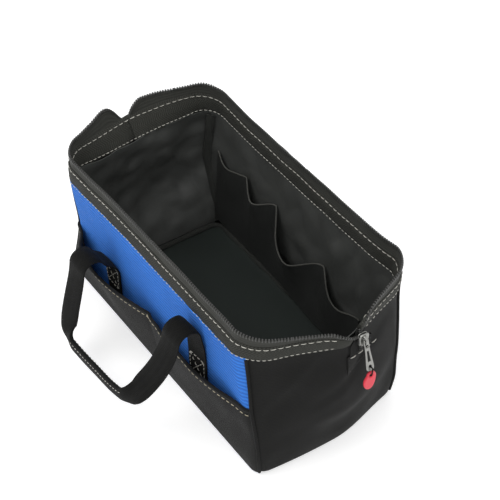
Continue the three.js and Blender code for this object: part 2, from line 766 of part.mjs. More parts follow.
const PULL_X = BRIDGE_X + (BRIDGE_RISE - BRIDGE_WIRE - PULL_THICK) / 2;
const PULL_TOP = SLIDER_MIDDLE + PULL_BAR;
const PULL_AXIS = point(PULL_X + PULL_THICK / 2, SLIDER_Y, PULL_TOP - PULL_BAR / 2);
const CORD_HOLE = point(0, 0, CORD_HOLE_RISE + PULL_BAR / 2 - PULL_LENGTH)
  .applyAxisAngle(point(0, 1, 0), -PULL_HANG)
  .add(PULL_AXIS);
const TAG_X = CORD_HOLE.x + (CORD_HOLE_RISE * Math.sin(PULL_HANG)) / 2;

function roundHole(x, y, radius) {
  return new THREE.Path(shares(10).slice(1).map((share) => {
    const turn = 2 * Math.PI * share;
    return new THREE.Vector2(x + radius * Math.cos(turn), y + radius * Math.sin(turn));
  }));
}

function slantedHole(top, low, halfTop, halfLow) {
  const hole = new THREE.Path();
  hole.moveTo(-halfTop, top);
  hole.lineTo(-halfLow, low);
  hole.lineTo(halfLow, low);
  hole.lineTo(halfTop, top);
  hole.closePath();
  return hole;
}

// The pull rests with its end a little off the bag
function makePull() {
  const shape = new THREE.Shape();
  const neck = PULL_NECK / 2;
  const flare = PULL_FLARE / 2;
  shape.moveTo(-neck, -PULL_BAR);
  shape.quadraticCurveTo(-neck, 0, 0, 0);
  shape.quadraticCurveTo(neck, 0, neck, -PULL_BAR);
  shape.lineTo(flare, -PULL_LENGTH + PULL_END);
  shape.quadraticCurveTo(flare * 0.8, -PULL_LENGTH, 0, -PULL_LENGTH);
  shape.quadraticCurveTo(-flare * 0.8, -PULL_LENGTH, -flare, -PULL_LENGTH + PULL_END);
  shape.closePath();
  const eyeHalf = neck - PULL_RAIL;
  const eyeLow = -PULL_BAR - PULL_EYE;
  shape.holes.push(
    slantedHole(-PULL_BAR, eyeLow, eyeHalf, eyeHalf),
    slantedHole(eyeLow - PULL_SLOT_DROP, -PULL_LENGTH + PULL_SLOT_RISE, PULL_SLOT_TOP, PULL_SLOT_LOW),
    roundHole(0, -PULL_LENGTH + CORD_HOLE_RISE, CORD_HOLE_RADIUS),
  );
  const pull = facingPlate(shape, PULL_THICK, 0, 0, PULL_X, PULL_TOP);
  pull.translate(-PULL_AXIS.x, -PULL_AXIS.y, -PULL_AXIS.z);
  pull.rotateY(-PULL_HANG);
  pull.translate(...PULL_AXIS);
  return piece('pull_tab', pull, 'steel');
}

// A short cord through the holes of the pull and the tag
function makeCord() {
  const half = TAG_CORD_LENGTH / 2;
  const wide = TAG_THICK / 2 + 2 * TAG_CORD_RADIUS + TAG_X - CORD_HOLE.x;
  const middleZ = CORD_HOLE.z - half + CORD_HOLE_RADIUS - TAG_CORD_RADIUS - SEAM_GAP;
  const rings = shares(16).slice(1).map((share) => {
    const turn = 2 * Math.PI * share;
    const out = point(Math.sin(turn), 0, Math.cos(turn));
    const centre = point(TAG_X + wide * squared(out.x), SLIDER_Y, middleZ + half * squared(out.z));
    return [0, 1, 2, 3].map((k) => {
      const around = (Math.PI / 2) * (k + 0.5);
      return centre.clone()
        .addScaledVector(out, TAG_CORD_RADIUS * Math.cos(around))
        .add(point(0, TAG_CORD_RADIUS * Math.sin(around), 0));
    });
  });
  return piece('tag_cord', loopOf(rings), 'black');
}

function makeTag() {
  const w = TAG_WIDTH / 2;
  const shape = new THREE.Shape();
  shape.moveTo(0, 0);
  shape.bezierCurveTo(w, 0, w * 1.1, -TAG_LENGTH * 0.45, w * 0.85, -TAG_LENGTH * 0.62);
  shape.bezierCurveTo(w * 0.6, -TAG_LENGTH, -w * 0.6, -TAG_LENGTH, -w * 0.85, -TAG_LENGTH * 0.62);
  shape.bezierCurveTo(-w * 1.1, -TAG_LENGTH * 0.45, -w, 0, 0, 0);
  shape.holes.push(roundHole(0, -TAG_HOLE_DROP, TAG_HOLE_RADIUS));
  const top = CORD_HOLE.z - TAG_CORD_LENGTH + TAG_HOLE_DROP;
  const tag = facingPlate(shape, TAG_THICK, TAG_EDGE, TAG_EDGE_OUT, TAG_X - TAG_THICK / 2, top);
  return piece('pull_tag', tag, 'red');
}

const FRONT_LEG_X = RIM_LENGTH / 2 - WIRE_DEPTH;
const REAR_LEG_X = FRONT_LEG_X - LAYER;

function makeBag() {
  const bag = new THREE.Group();
  bag.add(...makeFloor(), ...makeEndPanels(), ...makeGussets(), ...makeTail());
  bag.add(makeSlider(), makeBridge(), makePull(), makeCord(), makeTag());
  const legs = { front: FRONT_LEG_X, rear: REAR_LEG_X };
  for (const [name, side] of SIDES) {
    const half = new THREE.Group();
    half.rotation.z = side < 0 ? 0 : Math.PI;
    half.add(makeWall(name, -side), makeGate(name, legs[name]));
    bag.add(half);
  }
  bag.add(makeRivet('near_frame_rivet', 1), makeRivet('far_frame_rivet', -1));
  return bag;
}

export default makeBag();
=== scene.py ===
"""Zippered tool bag with a wide wire-framed mouth, dressed over its CAD frame.

Sizes are millimetres until a mesh is made, and metres in Blender. X runs along the bag with
the parked zip slider at +X, -Y is the front, and Z is up from the surface that it stands on.
"""
import json
import logging
import math
from collections.abc import Callable, Sequence
from dataclasses import dataclass
from enum import Enum

import bpy
import numpy as np
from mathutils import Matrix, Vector

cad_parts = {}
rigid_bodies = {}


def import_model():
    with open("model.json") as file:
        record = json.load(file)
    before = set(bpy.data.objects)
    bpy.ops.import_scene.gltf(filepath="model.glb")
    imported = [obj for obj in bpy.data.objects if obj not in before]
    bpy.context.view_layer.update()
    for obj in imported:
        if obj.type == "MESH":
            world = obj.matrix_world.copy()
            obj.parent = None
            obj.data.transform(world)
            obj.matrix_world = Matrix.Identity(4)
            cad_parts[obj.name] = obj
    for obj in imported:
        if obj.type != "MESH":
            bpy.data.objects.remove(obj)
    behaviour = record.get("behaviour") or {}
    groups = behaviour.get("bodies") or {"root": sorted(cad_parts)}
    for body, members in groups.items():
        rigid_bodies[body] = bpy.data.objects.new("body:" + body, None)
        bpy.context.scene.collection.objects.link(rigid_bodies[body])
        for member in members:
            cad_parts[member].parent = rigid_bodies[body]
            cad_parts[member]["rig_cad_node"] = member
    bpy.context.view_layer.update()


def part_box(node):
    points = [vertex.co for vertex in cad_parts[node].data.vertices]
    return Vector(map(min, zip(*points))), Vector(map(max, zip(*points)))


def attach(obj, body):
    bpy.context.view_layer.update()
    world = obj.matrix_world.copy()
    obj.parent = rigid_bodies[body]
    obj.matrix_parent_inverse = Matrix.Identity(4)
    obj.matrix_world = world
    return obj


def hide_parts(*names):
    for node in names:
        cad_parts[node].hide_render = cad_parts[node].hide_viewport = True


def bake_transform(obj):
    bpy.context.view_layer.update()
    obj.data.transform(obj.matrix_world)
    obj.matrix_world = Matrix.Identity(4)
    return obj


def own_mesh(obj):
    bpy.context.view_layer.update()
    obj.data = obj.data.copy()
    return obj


LOG = logging.getLogger("tool_bag")
MM = 0.001
Points = np.ndarray
Level = np.ndarray | float
Pair = tuple[float, float]
Triple = tuple[float, float, float]
Numbers = tuple[float, ...]
Outline = tuple[Pair, ...]
Piece = bpy.types.Object
Socket = bpy.types.NodeSocket
Colour = Triple


class Named(Enum):
    """Enum whose names are also words of the piece and node names."""

    @property
    def word(self) -> str:
        """The name as it stands in node names."""
        return self.name.lower()

    @property
    def title(self) -> str:
        """The name as it starts a piece's name."""
        return self.name.capitalize()


class End(Named):
    """An end of the bag, by the sign of X."""

    NEAR = 1
    FAR = -1


class Side(Named):
    """A long side of the bag, by the sign of Y."""

    FRONT = -1
    REAR = 1


class Slot(Enum):
    """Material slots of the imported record."""

    BLUE = "blue_cloth"
    BLACK = "black_cloth"
    LINING = "lining_cloth"
    WEBBING = "webbing"
    ZIP = "zip"
    BOARD = "board"
    STEEL = "steel"
    RED = "red_plastic"


# ---------------------------------------------------------------- shapes

def ease(value: Points, low: float, high: float) -> Points:
    """Smooth step from 0 at low to 1 at high.

    Args:
        value: What is eased.
        low: Where the step starts.
        high: Where the step ends.

    Returns:
        The eased share, from 0 to 1.
    """
    share = np.clip((np.asarray(value, float) - low) / (high - low), 0, 1)
    return share * share * (3 - 2 * share)


def coords(*parts: Level) -> Points:
    """Coordinates from their parts, which are spread over one another's shapes."""
    return np.stack(np.broadcast_arrays(*parts), -1)


def turns(count: int) -> Points:
    """Angles at even steps round a circle."""
    return 2 * math.pi * np.arange(count) / count


def unit(vectors: Points) -> Points:
    """Vectors scaled to length one."""
    return vectors / np.maximum(np.linalg.norm(vectors, axis=-1, keepdims=True), 1e-9)


def wrinkles(u: Points, v: Points, seed: int, lengths: Pair, waves: int = 7) -> Points:
    """Soft seeded unevenness of cloth, from waves that cross one another.

    Args:
        u: Places along the cloth, in millimetres.
        v: Places across the cloth, in millimetres.
        seed: Seed of the wave directions.
        lengths: Shortest and longest wave, in millimetres.
        waves: How many waves are laid over one another.

    Returns:
        Heights of about -1 to 1.
    """
    rng = np.random.default_rng(seed)
    total = np.zeros(np.broadcast(u, v).shape)
    for _ in range(waves):
        length, turn, start = rng.uniform(*lengths), rng.uniform(0, math.pi), rng.uniform(0, 6.28)
        over = u * math.sin(turn) - v * math.cos(turn)
        bend = 0.35 * np.sin(2 * math.pi * over / (2.3 * length) + start)
        total += np.sin(2 * math.pi * ((u * math.cos(turn) + v * math.sin(turn)) / length + bend) + start)
    return total / math.sqrt(waves * 2)


def table(place: Points, places: Sequence[float], levels: Sequence[float], blur: float = 6.0) -> Points:
    """Reads a level off a table, rounded where the table turns.

    Args:
        place: Where it is read.
        places: Places of the table, rising.
        levels: Level at each place.
        blur: How far the turns are rounded.

    Returns:
        The levels.
    """
    return np.mean([np.interp(place + off * blur, places, levels) for off in (-1, -0.5, 0, 0.5, 1)], axis=0)


@dataclass
class Skin:
    """Mesh of one piece: points in millimetres, faces, and cloth coordinates in metres."""

    points: Points
    faces: list[list[int]]
    cloth: Points

    def facing_out(self) -> "Skin":
        """The same skin with its faces turned outward, going by the volume it holds."""
        volume = 0.0
        for face in self.faces:
            a = self.points[face[0]]
            for i, k in zip(face[1:-1], face[2:]):
                volume += float(np.dot(a, np.cross(self.points[i], self.points[k])))
        if volume < 0:
            self.faces = [face[::-1] for face in self.faces]
        return self


def joined(skins: Sequence[Skin]) -> Skin:
    """Several skins as one."""
    faces, start = [], 0
    for skin in skins:
        faces += [[i + start for i in face] for face in skin.faces]
        start += len(skin.points)
    return Skin(np.concatenate([s.points for s in skins]), faces, np.concatenate([s.cloth for s in skins]))


def slab(face: Points, back: Points, cloth: Points) -> Skin:
    """Closed sheet between a grid of face points and a grid of back points.

    Args:
        face: Face points, rows by columns by 3.
        back: Back points, in the same grid.
        cloth: Cloth coordinates in millimetres, rows by columns by 2.

    Returns:
        The closed skin.
    """
    rows, columns = face.shape[:2]
    count = rows * columns
    index = np.arange(count).reshape(rows, columns)
    quads = coords(index[:-1, :-1], index[:-1, 1:], index[1:, 1:], index[1:, :-1]).reshape(-1, 4)
    rim = np.concatenate([index[0, :-1], index[:-1, -1], index[-1, :0:-1], index[:0:-1, 0]])
    ahead = np.roll(rim, -1)
    edge = np.stack([ahead, rim, rim + count, ahead + count], 1)
    faces = np.concatenate([quads, quads[:, ::-1] + count, edge]).tolist()
    flat = cloth.reshape(-1, 2) * MM
    return Skin(np.concatenate([face.reshape(-1, 3), back.reshape(-1, 3)]), faces,
                np.concatenate([flat, flat])).facing_out()


def swept(rings: Points, cloth: Points) -> Skin:
    """Closed body through a row of rings of points.

    Args:
        rings: Ring points, rings by points by 3.
        cloth: Cloth coordinates in millimetres, in the same grid by 2.

    Returns:
        The closed skin, capped at both ends.
    """
    rows, columns = rings.shape[:2]
    index = np.arange(rows * columns).reshape(rows, columns)
    turned = np.roll(index, -1, axis=1)
    faces = coords(index[:-1], turned[:-1], turned[1:], index[1:]).reshape(-1, 4).tolist()
    faces += [index[0, ::-1].tolist(), index[-1].tolist()]
    return Skin(rings.reshape(-1, 3), faces, cloth.reshape(-1, 2) * MM).facing_out()


def run_of(path: Points) -> Points:
    """Distance along a path at each of its points."""
    return np.concatenate([[0], np.cumsum(np.linalg.norm(np.diff(path, axis=0), axis=1))])


def heading(path: Points) -> Points:
    """Unit direction of a path at each of its points."""
    return unit(np.gradient(path, axis=0))


def squared(across: Points, ahead: Points) -> Points:
    """Unit directions across a path, square to the way ahead."""
    return unit(across - ahead * np.sum(across * ahead, 1, keepdims=True))


def read_at(places: Points, run: Points, path: Points) -> Points:
    """Points of a path at distances along it."""
    return coords(*(np.interp(places, run, column) for column in path.T))


def resampled(path: Points, steps: int) -> Points:
    """A path's points at even distances."""
    run = run_of(path)
    return read_at(np.linspace(0, run[-1], steps + 1), run, path)


def rounded(path: Points, passes: int) -> Points:
    """A path with its corners cut and cut again, its two ends kept."""
    for _ in range(passes):
        low, high = 0.75 * path[:-1] + 0.25 * path[1:], 0.25 * path[:-1] + 0.75 * path[1:]
        path = np.concatenate([path[:1], np.stack([low, high], 1).reshape(-1, path.shape[1]), path[-1:]])
    return path


def rounded_ring(outline: Points, passes: int) -> Points:
    """A closed outline with its corners cut, but for the one it starts from."""
    return rounded(np.concatenate([outline, outline[:1]]), passes)[:-1]


def circle(across: float, up: float, radius: float, count: int = 14) -> Points:
    """Outline of a round hole."""
    turn = turns(count)
    return coords(across + radius * np.cos(turn), up + radius * np.sin(turn))


def tube(path: Points, radius: float | Points, sides: int = 8) -> Skin:
    """Round bar along a path.

    Args:
        path: Points of its middle line.
        radius: One radius, or one for each point.
        sides: Points round the bar.

    Returns:
        The closed bar.
    """
    ahead = heading(path)
    radius = np.broadcast_to(np.asarray(radius, float), (len(path),))
    side = np.array([0, 0, 1.0]) if abs(ahead[0][2]) < 0.9 else np.array([1.0, 0, 0])
    turn = turns(sides)
    run, rings = run_of(path), []
    for centre, way, r in zip(path, ahead, radius):
        side = side - way * np.dot(side, way)
        side = side / np.linalg.norm(side)
        other = np.cross(way, side)
        rings.append(centre + r * (np.cos(turn)[:, None] * side + np.sin(turn)[:, None] * other))
    cloth = coords(run[:, None], (turn * float(np.mean(radius)))[None, :])
    return swept(np.array(rings), cloth)


def ribbon(path: Points, across: Points, width: Points, thick: Points, crown: float = 0.0) -> Skin:
    """Flat strap along a path.

    Args:
        path: Points of its middle line.
        across: Direction across the strap at each point.
        width: Its width at each point.
        thick: Its thickness at each point.
        crown: How far its middle stands above its edges.

    Returns:
        The closed strap.
    """
    ahead = heading(path)
    across = squared(across, ahead)
    up = np.cross(ahead, across)
    share = np.linspace(-1, 1, 9)
    place = path[:, None] + across[:, None] * (share[None, :, None] * width[:, None, None] / 2)
    lift = crown * (1 - share ** 2)[None, :, None] * up[:, None]
    soft = (1 - 0.45 * np.abs(share) ** 6)[None, :, None] * thick[:, None, None] / 2 * up[:, None]
    cloth = coords(run_of(path)[:, None], share[None, :] * width[:, None] / 2)
    return slab(place + lift + soft, place + lift - soft, cloth)


def plate(outline: Points, holes: Sequence[Points], thick: float, edge: float, place: Callable) -> Skin:
    """Flat plate with rounded edges cut to an outline.

    Args:
        outline: Its outline, points by 2.
        holes: Outlines of its holes.
        thick: Its thickness.
        edge: Radius of its edges.
        place: Turns plate points (across, up, out of the plate) into points of the bag.

    Returns:
        The closed plate.
    """
    curve = bpy.data.curves.new("plate", "CURVE")
    curve.dimensions, curve.fill_mode = "2D", "BOTH"
    curve.extrude, curve.bevel_depth, curve.bevel_resolution = (thick / 2 - edge) * MM, edge * MM, 2
    curve.offset = -edge * MM
    for ring in (outline, *holes):
        spline = curve.splines.new("POLY")
        spline.points.add(len(ring) - 1)
        for at, p in zip(spline.points, ring):
            at.co = (p[0] * MM, p[1] * MM, 0, 1)
        spline.use_cyclic_u = True
    shown = bpy.data.objects.new("plate", curve)
    bpy.context.scene.collection.objects.link(shown)
    bpy.context.view_layer.update()
    mesh = bpy.data.meshes.new_from_object(shown.evaluated_get(bpy.context.evaluated_depsgraph_get()))
    flat = np.array([v.co for v in mesh.vertices], float) / MM
    faces = [list(f.vertices) for f in mesh.polygons]
    bpy.data.objects.remove(shown)
    bpy.data.curves.remove(curve)
    bpy.data.meshes.remove(mesh)
    return Skin(place(flat[:, 0], flat[:, 1], flat[:, 2]), faces, flat[:, :2] * MM)


@dataclass(frozen=True)
class Stitching:
    """Row of thick sewing thread: each stitch stands on the cloth and dips in at both ends."""

    dash: float = 4.2
    gap: float = 1.6
    thick: float = 0.95
    along: Numbers = (-0.5, -0.36, 0, 0.36, 0.5)
    girth: Numbers = (0.3, 0.85, 1, 0.85, 0.3)
    rise: Numbers = (-0.5, 0.1, 0.3, 0.1, -0.5)
    sides: int = 6

    def row(self, path: Points, up: Points) -> Skin:
        """Stitches along a path.

        Args:
            path: Points on the cloth's face.
            up: Direction out of the cloth at each point.

        Returns:
            All stitches of the row.
        """
        run = run_of(path)
        count = max(1, int(run[-1] / (self.dash + self.gap)))
        girth, rise = np.array(self.girth) * self.thick / 2, np.array(self.rise) * self.thick
        at = ((np.arange(count) + 0.5) * run[-1] / count)[:, None] + np.array(self.along) * self.dash
        line, out = read_at(at, run, path), unit(read_at(at, run, up))
        side = np.cross(out, unit(line[:, -1:] - line[:, :1]))
        turn = turns(self.sides)
        middle = line + out * rise[None, :, None]
        ring = (np.cos(turn)[None, None, :, None] * side[:, :, None]
                + 0.8 * np.sin(turn)[None, None, :, None] * out[:, :, None])
        points = middle[:, :, None] + ring * girth[None, :, None, None]
        cloth = coords(at[:, :, None], (turn * self.thick / 2)[None, None])
        return joined([swept(p, c) for p, c in zip(points, cloth)])


# ---------------------------------------------------------------- finishes

@dataclass
class NodeTree:
    """Builder for a material's nodes."""

    material: bpy.types.Material

    def __post_init__(self) -> None:
        """Empties the tree and adds the shader and the output."""
        self.material.use_nodes = True
        self.tree = self.material.node_tree
        self.tree.nodes.clear()
        self.shader = self.add("BsdfPrincipled")
        self.add("OutputMaterial", Surface=self.shader.outputs["BSDF"])

    def put(self, target: Socket, value: object) -> None:
        """Sets a socket to a number or colour, or links another socket to it."""
        if isinstance(value, Socket):
            self.tree.links.new(value, target)
        else:
            target.default_value = value

    def feed(self, node: bpy.types.Node, **inputs: object) -> bpy.types.Node:
        """Sets or links a node's inputs, which are named with _ for each space."""
        for name, value in inputs.items():
            self.put(node.inputs[name.replace("_", " ")], value)
        return node

    def add(self, kind: str, **inputs: object) -> bpy.types.Node:
        """Adds a shader node of a kind, with its inputs."""
        return self.feed(self.tree.nodes.new(f"ShaderNode{kind}"), **inputs)

    def number(self, operation: str, a: object, b: object = 0.0) -> Socket:
        """Result of a Math node's operation on two numbers or sockets."""
        node = self.add("Math")
        node.operation = operation
        self.put(node.inputs[0], a)
        self.put(node.inputs[1], b)
        return node.outputs[0]

    def cloth(self) -> tuple[Socket, Socket]:
        """Places along and across the cloth, in millimetres."""
        place = self.add("UVMap")
        place.uv_map = "cloth"
        split = self.add("SeparateXYZ", Vector=place.outputs[0])
        return tuple(self.number("MULTIPLY", split.outputs[k], 1 / MM) for k in (0, 1))

    def wave(self, place: Socket, length: float) -> Socket:
        """Sine from -1 to 1 with the given wavelength in millimetres."""
        return self.number("SINE", self.number("MULTIPLY", place, 2 * math.pi / length))

    def grain(self, size: float, detail: float = 3.0, rough: float = 0.55) -> Socket:
        """Cloudy noise of the given size in millimetres, from the piece's own coordinates."""
        place = self.add("TexCoord").outputs["Object"]
        noise = self.add("TexNoise", Vector=place, Scale=1 / (size * MM), Detail=detail, Roughness=rough)
        return noise.outputs[0]

    def spread(self, value: object, low: float, high: float) -> Socket:
        """A value scaled so that 0 gives low and 1 gives high."""
        return self.number("ADD", self.number("MULTIPLY", value, high - low), low)

    def blend(self, share: object, dark: Colour, pale: Colour) -> Socket:
        """Colour between two others."""
        node = self.add("Mix")
        node.data_type = "RGBA"
        self.feed(node, Factor=share, A=(*dark, 1), B=(*pale, 1))
        return node.outputs["Result"]

    def bump(self, height: object, depth: float) -> None:
        """Relief of a height from 0 to 1, as deep as depth in millimetres."""
        relief = self.add("Bump", Height=height, Distance=depth * MM, Strength=1.0)
        self.feed(self.shader, Normal=relief.outputs[0])


@dataclass(frozen=True)
class Finish:
    """Finish of a piece: its material and the record's slot it belongs to."""

    name: str
    slot: Slot
    colour: Colour
    tones: Pair = (0.8, 1.5)
    roughness: float = 0.5
    wear: Pair = (-0.1, 0.15)

    def nodes(self, tree: NodeTree) -> None:
        """Builds the finish's own nodes."""
        raise NotImplementedError

    def material(self) -> bpy.types.Material:
        """The finish's material, made once."""
        made = bpy.data.materials.get(self.name)
        if made is None:
            made = bpy.data.materials.new(self.name)
            made.diffuse_color = (*self.colour, 1)
            self.nodes(NodeTree(made))
        return made

    def shade(self, factor: float) -> Colour:
        """The finish's colour, darker or paler."""
        return tuple(min(1.0, c * factor) for c in self.colour)

    def paint(self, tree: NodeTree, tone: object, worn: object, **sockets: float) -> None:
        """Sets the shader's colour, roughness and other sockets.

        Args:
            tree: Nodes of the material.
            tone: Share from the finish's darker tone to its paler one.
            worn: Share from its smoother wear to its rougher one.
            sockets: Other sockets of the shader, named with _ for each space.
        """
        dark, pale = (self.shade(factor) for factor in self.tones)
        smooth, rough = (self.roughness + off for off in self.wear)
        tree.feed(tree.shader, Base_Color=tree.blend(tone, dark, pale),
                  Roughness=tree.spread(worn, smooth, rough), **sockets)


@dataclass(frozen=True)
class WovenCloth(Finish):
    """Plain weave with a rib every few threads, mottled by wear and handling."""

    thread: float = 0.7
    rib: float = 2.6
    rib_depth: float = 0.5
    mottle: float = 0.25
    # Strength of the painted shade between the rib tops and the grooves between them.
    rib_tone: float = 0.25
    tones: Pair = (0.72, 1.22)
    roughness: float = 0.78
    wear: Pair = (-0.1, 0.1)
    sheen: float = 0.03
    gloss: float = 0.18
    depth: float = 0.16

    def nodes(self, tree: NodeTree) -> None:
        """Builds weave, ribs and mottling, and paints shade into the hollows of the weave and ribs."""
        along, across = tree.cloth()
        weave = tree.number("MULTIPLY", tree.wave(along, self.thread), tree.wave(across, self.thread))
        drift = tree.number("MULTIPLY", tree.grain(14, 2), self.rib * 0.9)
        rib = tree.wave(tree.number("ADD", across, drift), self.rib)
        cloud = tree.grain(38, 4)
        relief = tree.number("ADD", tree.spread(weave, 0, 0.25), tree.spread(rib, 0, self.rib_depth))
        # Colour share: random mottling from the cloud plus painted shade from the weave and rib relief,
        # paler on raised threads and darker in the hollows.
        cloud_and_groove_shade = tree.number("ADD", tree.spread(cloud, -0.5 * self.mottle, 0.5 * self.mottle + 0.5),
                          tree.spread(relief, 0.1, 0.1 + self.rib_tone))
        self.paint(tree, cloud_and_groove_shade, cloud, Sheen_Weight=self.sheen, Sheen_Roughness=0.45,
                   Specular_IOR_Level=self.gloss)
        tree.bump(relief, self.depth)


@dataclass(frozen=True)
class Webbing(Finish):
    """Narrow webbing with a herringbone of fine ribs."""

    rib: float = 1.9
    lane: float = 5.0
    slant: float = 0.9
    fine: float = 0.8
    depth: float = 0.3
    tones: Pair = (0.55, 1.5)
    roughness: float = 0.7
    sheen: float = 0.02
    gloss: float = 0.14

    def nodes(self, tree: NodeTree) -> None:
        """Builds the herringbone with painted shade in its grooves, and its dust."""
        along, across = tree.cloth()
        zigzag = tree.number("MULTIPLY", tree.number("PINGPONG", across, self.lane), self.slant)
        rib, fine = tree.wave(tree.number("ADD", along, zigzag), self.rib), tree.wave(across, self.fine)
        cloud = tree.grain(22, 4)
        relief = tree.number("ADD", tree.spread(rib, 0.1, 0.55), tree.spread(fine, 0, 0.12))
        # Colour share: painted shade from the herringbone relief, darker in its grooves, plus random dust
        # from the cloud.
        cloud_and_groove_shade = tree.number("ADD", tree.spread(relief, 0.0, 0.7), tree.spread(cloud, -0.2, 0.35))
        self.paint(tree, cloud_and_groove_shade, cloud, Sheen_Weight=self.sheen, Sheen_Roughness=0.4,
                   Specular_IOR_Level=self.gloss)
        tree.bump(relief, self.depth)


@dataclass(frozen=True)
class Thread(Finish):
    """Twisted sewing thread."""

    twist: float = 0.8
    tones: Pair = (0.78, 1.08)
    roughness: float = 0.6
    wear: Pair = (0.0, 0.12)

    def nodes(self, tree: NodeTree) -> None:
        """Builds the twist and the thread's faint soiling."""
        along, across = tree.cloth()
        twist = tree.wave(tree.number("ADD", along, across), self.twist)
        soiled = tree.spread(tree.grain(9, 3), 0.2, 0.9)
        self.paint(tree, soiled, twist, Sheen_Weight=0.15, Specular_IOR_Level=0.35)
        tree.bump(tree.spread(twist, 0, 0.5), 0.12)


@dataclass(frozen=True)
class CoatedSheet(Finish):
    """Thin coated lining or covered board: smooth, faintly glossy, finely grained."""

    gloss: float = 0.45
    pebble: float = 1.2
    depth: float = 0.08
    thread: float = 0.9
    tones: Pair = (0.7, 1.35)
    roughness: float = 0.6
    wear: Pair = (-0.15, 0.1)

    def nodes(self, tree: NodeTree) -> None:
        """Builds the coating's grain and its cloudy gloss, with a faint painted shade in the weave's
        hollows.
        """
        along, across = tree.cloth()
        weave = tree.number("MULTIPLY", tree.wave(along, self.thread), tree.wave(across, self.thread))
        pebble = tree.grain(self.pebble, 2)
        cloud = tree.grain(45, 4)
        # Colour share: random cloudy tone plus a faint painted shade from the weave's relief, darker in its
        # hollows.
        cloud_and_groove_shade = tree.number("ADD", tree.spread(cloud, -0.1, 1.0), tree.spread(weave, 0, 0.08))
        self.paint(tree, cloud_and_groove_shade, cloud, Specular_IOR_Level=self.gloss)
        tree.bump(tree.number("ADD", tree.spread(weave, 0, 0.3), tree.spread(pebble, 0, 0.6)), self.depth)


@dataclass(frozen=True)
class ZipPlastic(Finish):
    """Moulded zip chain."""

    roughness: float = 0.38

    def nodes(self, tree: NodeTree) -> None:
        """Builds rubbed high spots and fine scratches."""
        cloud = tree.grain(6, 4)
        self.paint(tree, cloud, cloud, Specular_IOR_Level=0.5)
        tree.bump(tree.grain(0.8, 3), 0.04)


@dataclass(frozen=True)
class PlatedSteel(Finish):
    """Grey plated metal, tumbled and a little worn on its edges."""

    tones: Pair = (0.75, 1.2)
    roughness: float = 0.34

    def nodes(self, tree: NodeTree) -> None:
        """Builds the plating's clouds and its fine scratches."""
        cloud, scratch = tree.grain(5, 4), tree.grain(0.5, 3, 0.7)
        self.paint(tree, cloud, scratch, Metallic=1.0)
        tree.bump(scratch, 0.03)


@dataclass(frozen=True)
class SoftPlastic(Finish):
    """Moulded soft plastic of the pull tag."""

    tones: Pair = (0.88, 1.08)
    roughness: float = 0.42
    wear: Pair = (-0.06, 0.1)

    def nodes(self, tree: NodeTree) -> None:
        """Builds the moulding's faint unevenness."""
        cloud = tree.grain(7, 3)
        self.paint(tree, cloud, cloud, Specular_IOR_Level=0.5, Subsurface_Weight=0.05)
        tree.bump(tree.grain(1.4, 3), 0.05)


# The blue ripstop's ribs carry a stronger painted shade than the other cloths' ribs.
BLUE_CLOTH = WovenCloth("Blue_ripstop", Slot.BLUE, (0.05, 0.25, 0.95), rib=4.2, rib_depth=0.9, rib_tone=0.5,
                        mottle=0.1, depth=0.5)
BLACK_CLOTH = WovenCloth("Black_pack_cloth", Slot.BLACK, (0.008, 0.008, 0.0075), rib=1.7, rib_depth=0.3)
LINING = CoatedSheet("Coated_lining", Slot.LINING, (0.048, 0.05, 0.047))
POCKET_LINING = CoatedSheet("Pocket_lining", Slot.LINING, (0.017, 0.018, 0.017))
LINING_TAPE = Webbing("Binding_tape", Slot.WEBBING, (0.045, 0.047, 0.043), rib=1.4, lane=3.0, slant=0.3)
POCKET_TAPE = Webbing("Grey_pocket_tape", Slot.WEBBING, (0.11, 0.11, 0.1), rib=1.4, lane=3.0, slant=0.3)
BAND = Webbing("Herringbone_band", Slot.WEBBING, (0.052, 0.053, 0.046), rib=2.6, depth=0.45)
STRAP = Webbing("Ribbed_strap", Slot.WEBBING, (0.0035, 0.0035, 0.003), rib=1.6, lane=4.0, slant=0.5)
ZIP_TAPE = WovenCloth("Zip_tape", Slot.ZIP, (0.05, 0.051, 0.045), thread=0.8, rib=3.2, rib_depth=0.6)
CHAIN = ZipPlastic("Zip_chain", Slot.ZIP, (0.036, 0.036, 0.034))
BOARD = CoatedSheet("Covered_board", Slot.BOARD, (0.012, 0.0165, 0.0145), gloss=0.3, depth=0.05,
                    roughness=0.7)
STEEL = PlatedSteel("Plated_steel", Slot.STEEL, (0.3, 0.3, 0.285))
RED = SoftPlastic("Red_tag_plastic", Slot.RED, (0.83, 0.045, 0.075))
WHITE_THREAD = Thread("Off_white_thread", Slot.WEBBING, (0.72, 0.70, 0.63))
HEM_THREAD = Thread("Straw_thread", Slot.BLACK, (0.62, 0.56, 0.40))
DARK_THREAD = Thread("Dark_thread", Slot.BLACK, (0.03, 0.03, 0.03))


def dress(name: str, skin: Skin, finish: Finish, body: str, stands_for: Sequence[str] = (),
          crease: float = 40.0) -> Piece:
    """Makes a piece of the bag from its skin.

    Args:
        name: Name of the piece.
        skin: Its mesh.
        finish: Its finish.
        body: The CAD body it rides on, or "" for a piece that rides on none.
        stands_for: CAD nodes that it replaces.
        crease: Angle in degrees from which an edge stays sharp.

    Returns:
        The piece, riding on its body.
    """
    mesh = bpy.data.meshes.new(name)
    mesh.from_pydata((skin.points * MM).tolist(), [], skin.faces)
    corners = np.empty(len(mesh.loops), np.int64)
    mesh.loops.foreach_get("vertex_index", corners)
    mesh.uv_layers.new(name="cloth").data.foreach_set("uv", skin.cloth[corners].astype(np.float32).ravel())
    mesh.shade_smooth()
    mesh.set_sharp_from_angle(angle=math.radians(crease))
    mesh.materials.append(finish.material())
    piece = bpy.data.objects.new(name, mesh)
    bpy.context.scene.collection.objects.link(piece)
    if body:
        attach(piece, body)
    if stands_for:
        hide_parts(*stands_for)
    return piece


# ---------------------------------------------------------------- body

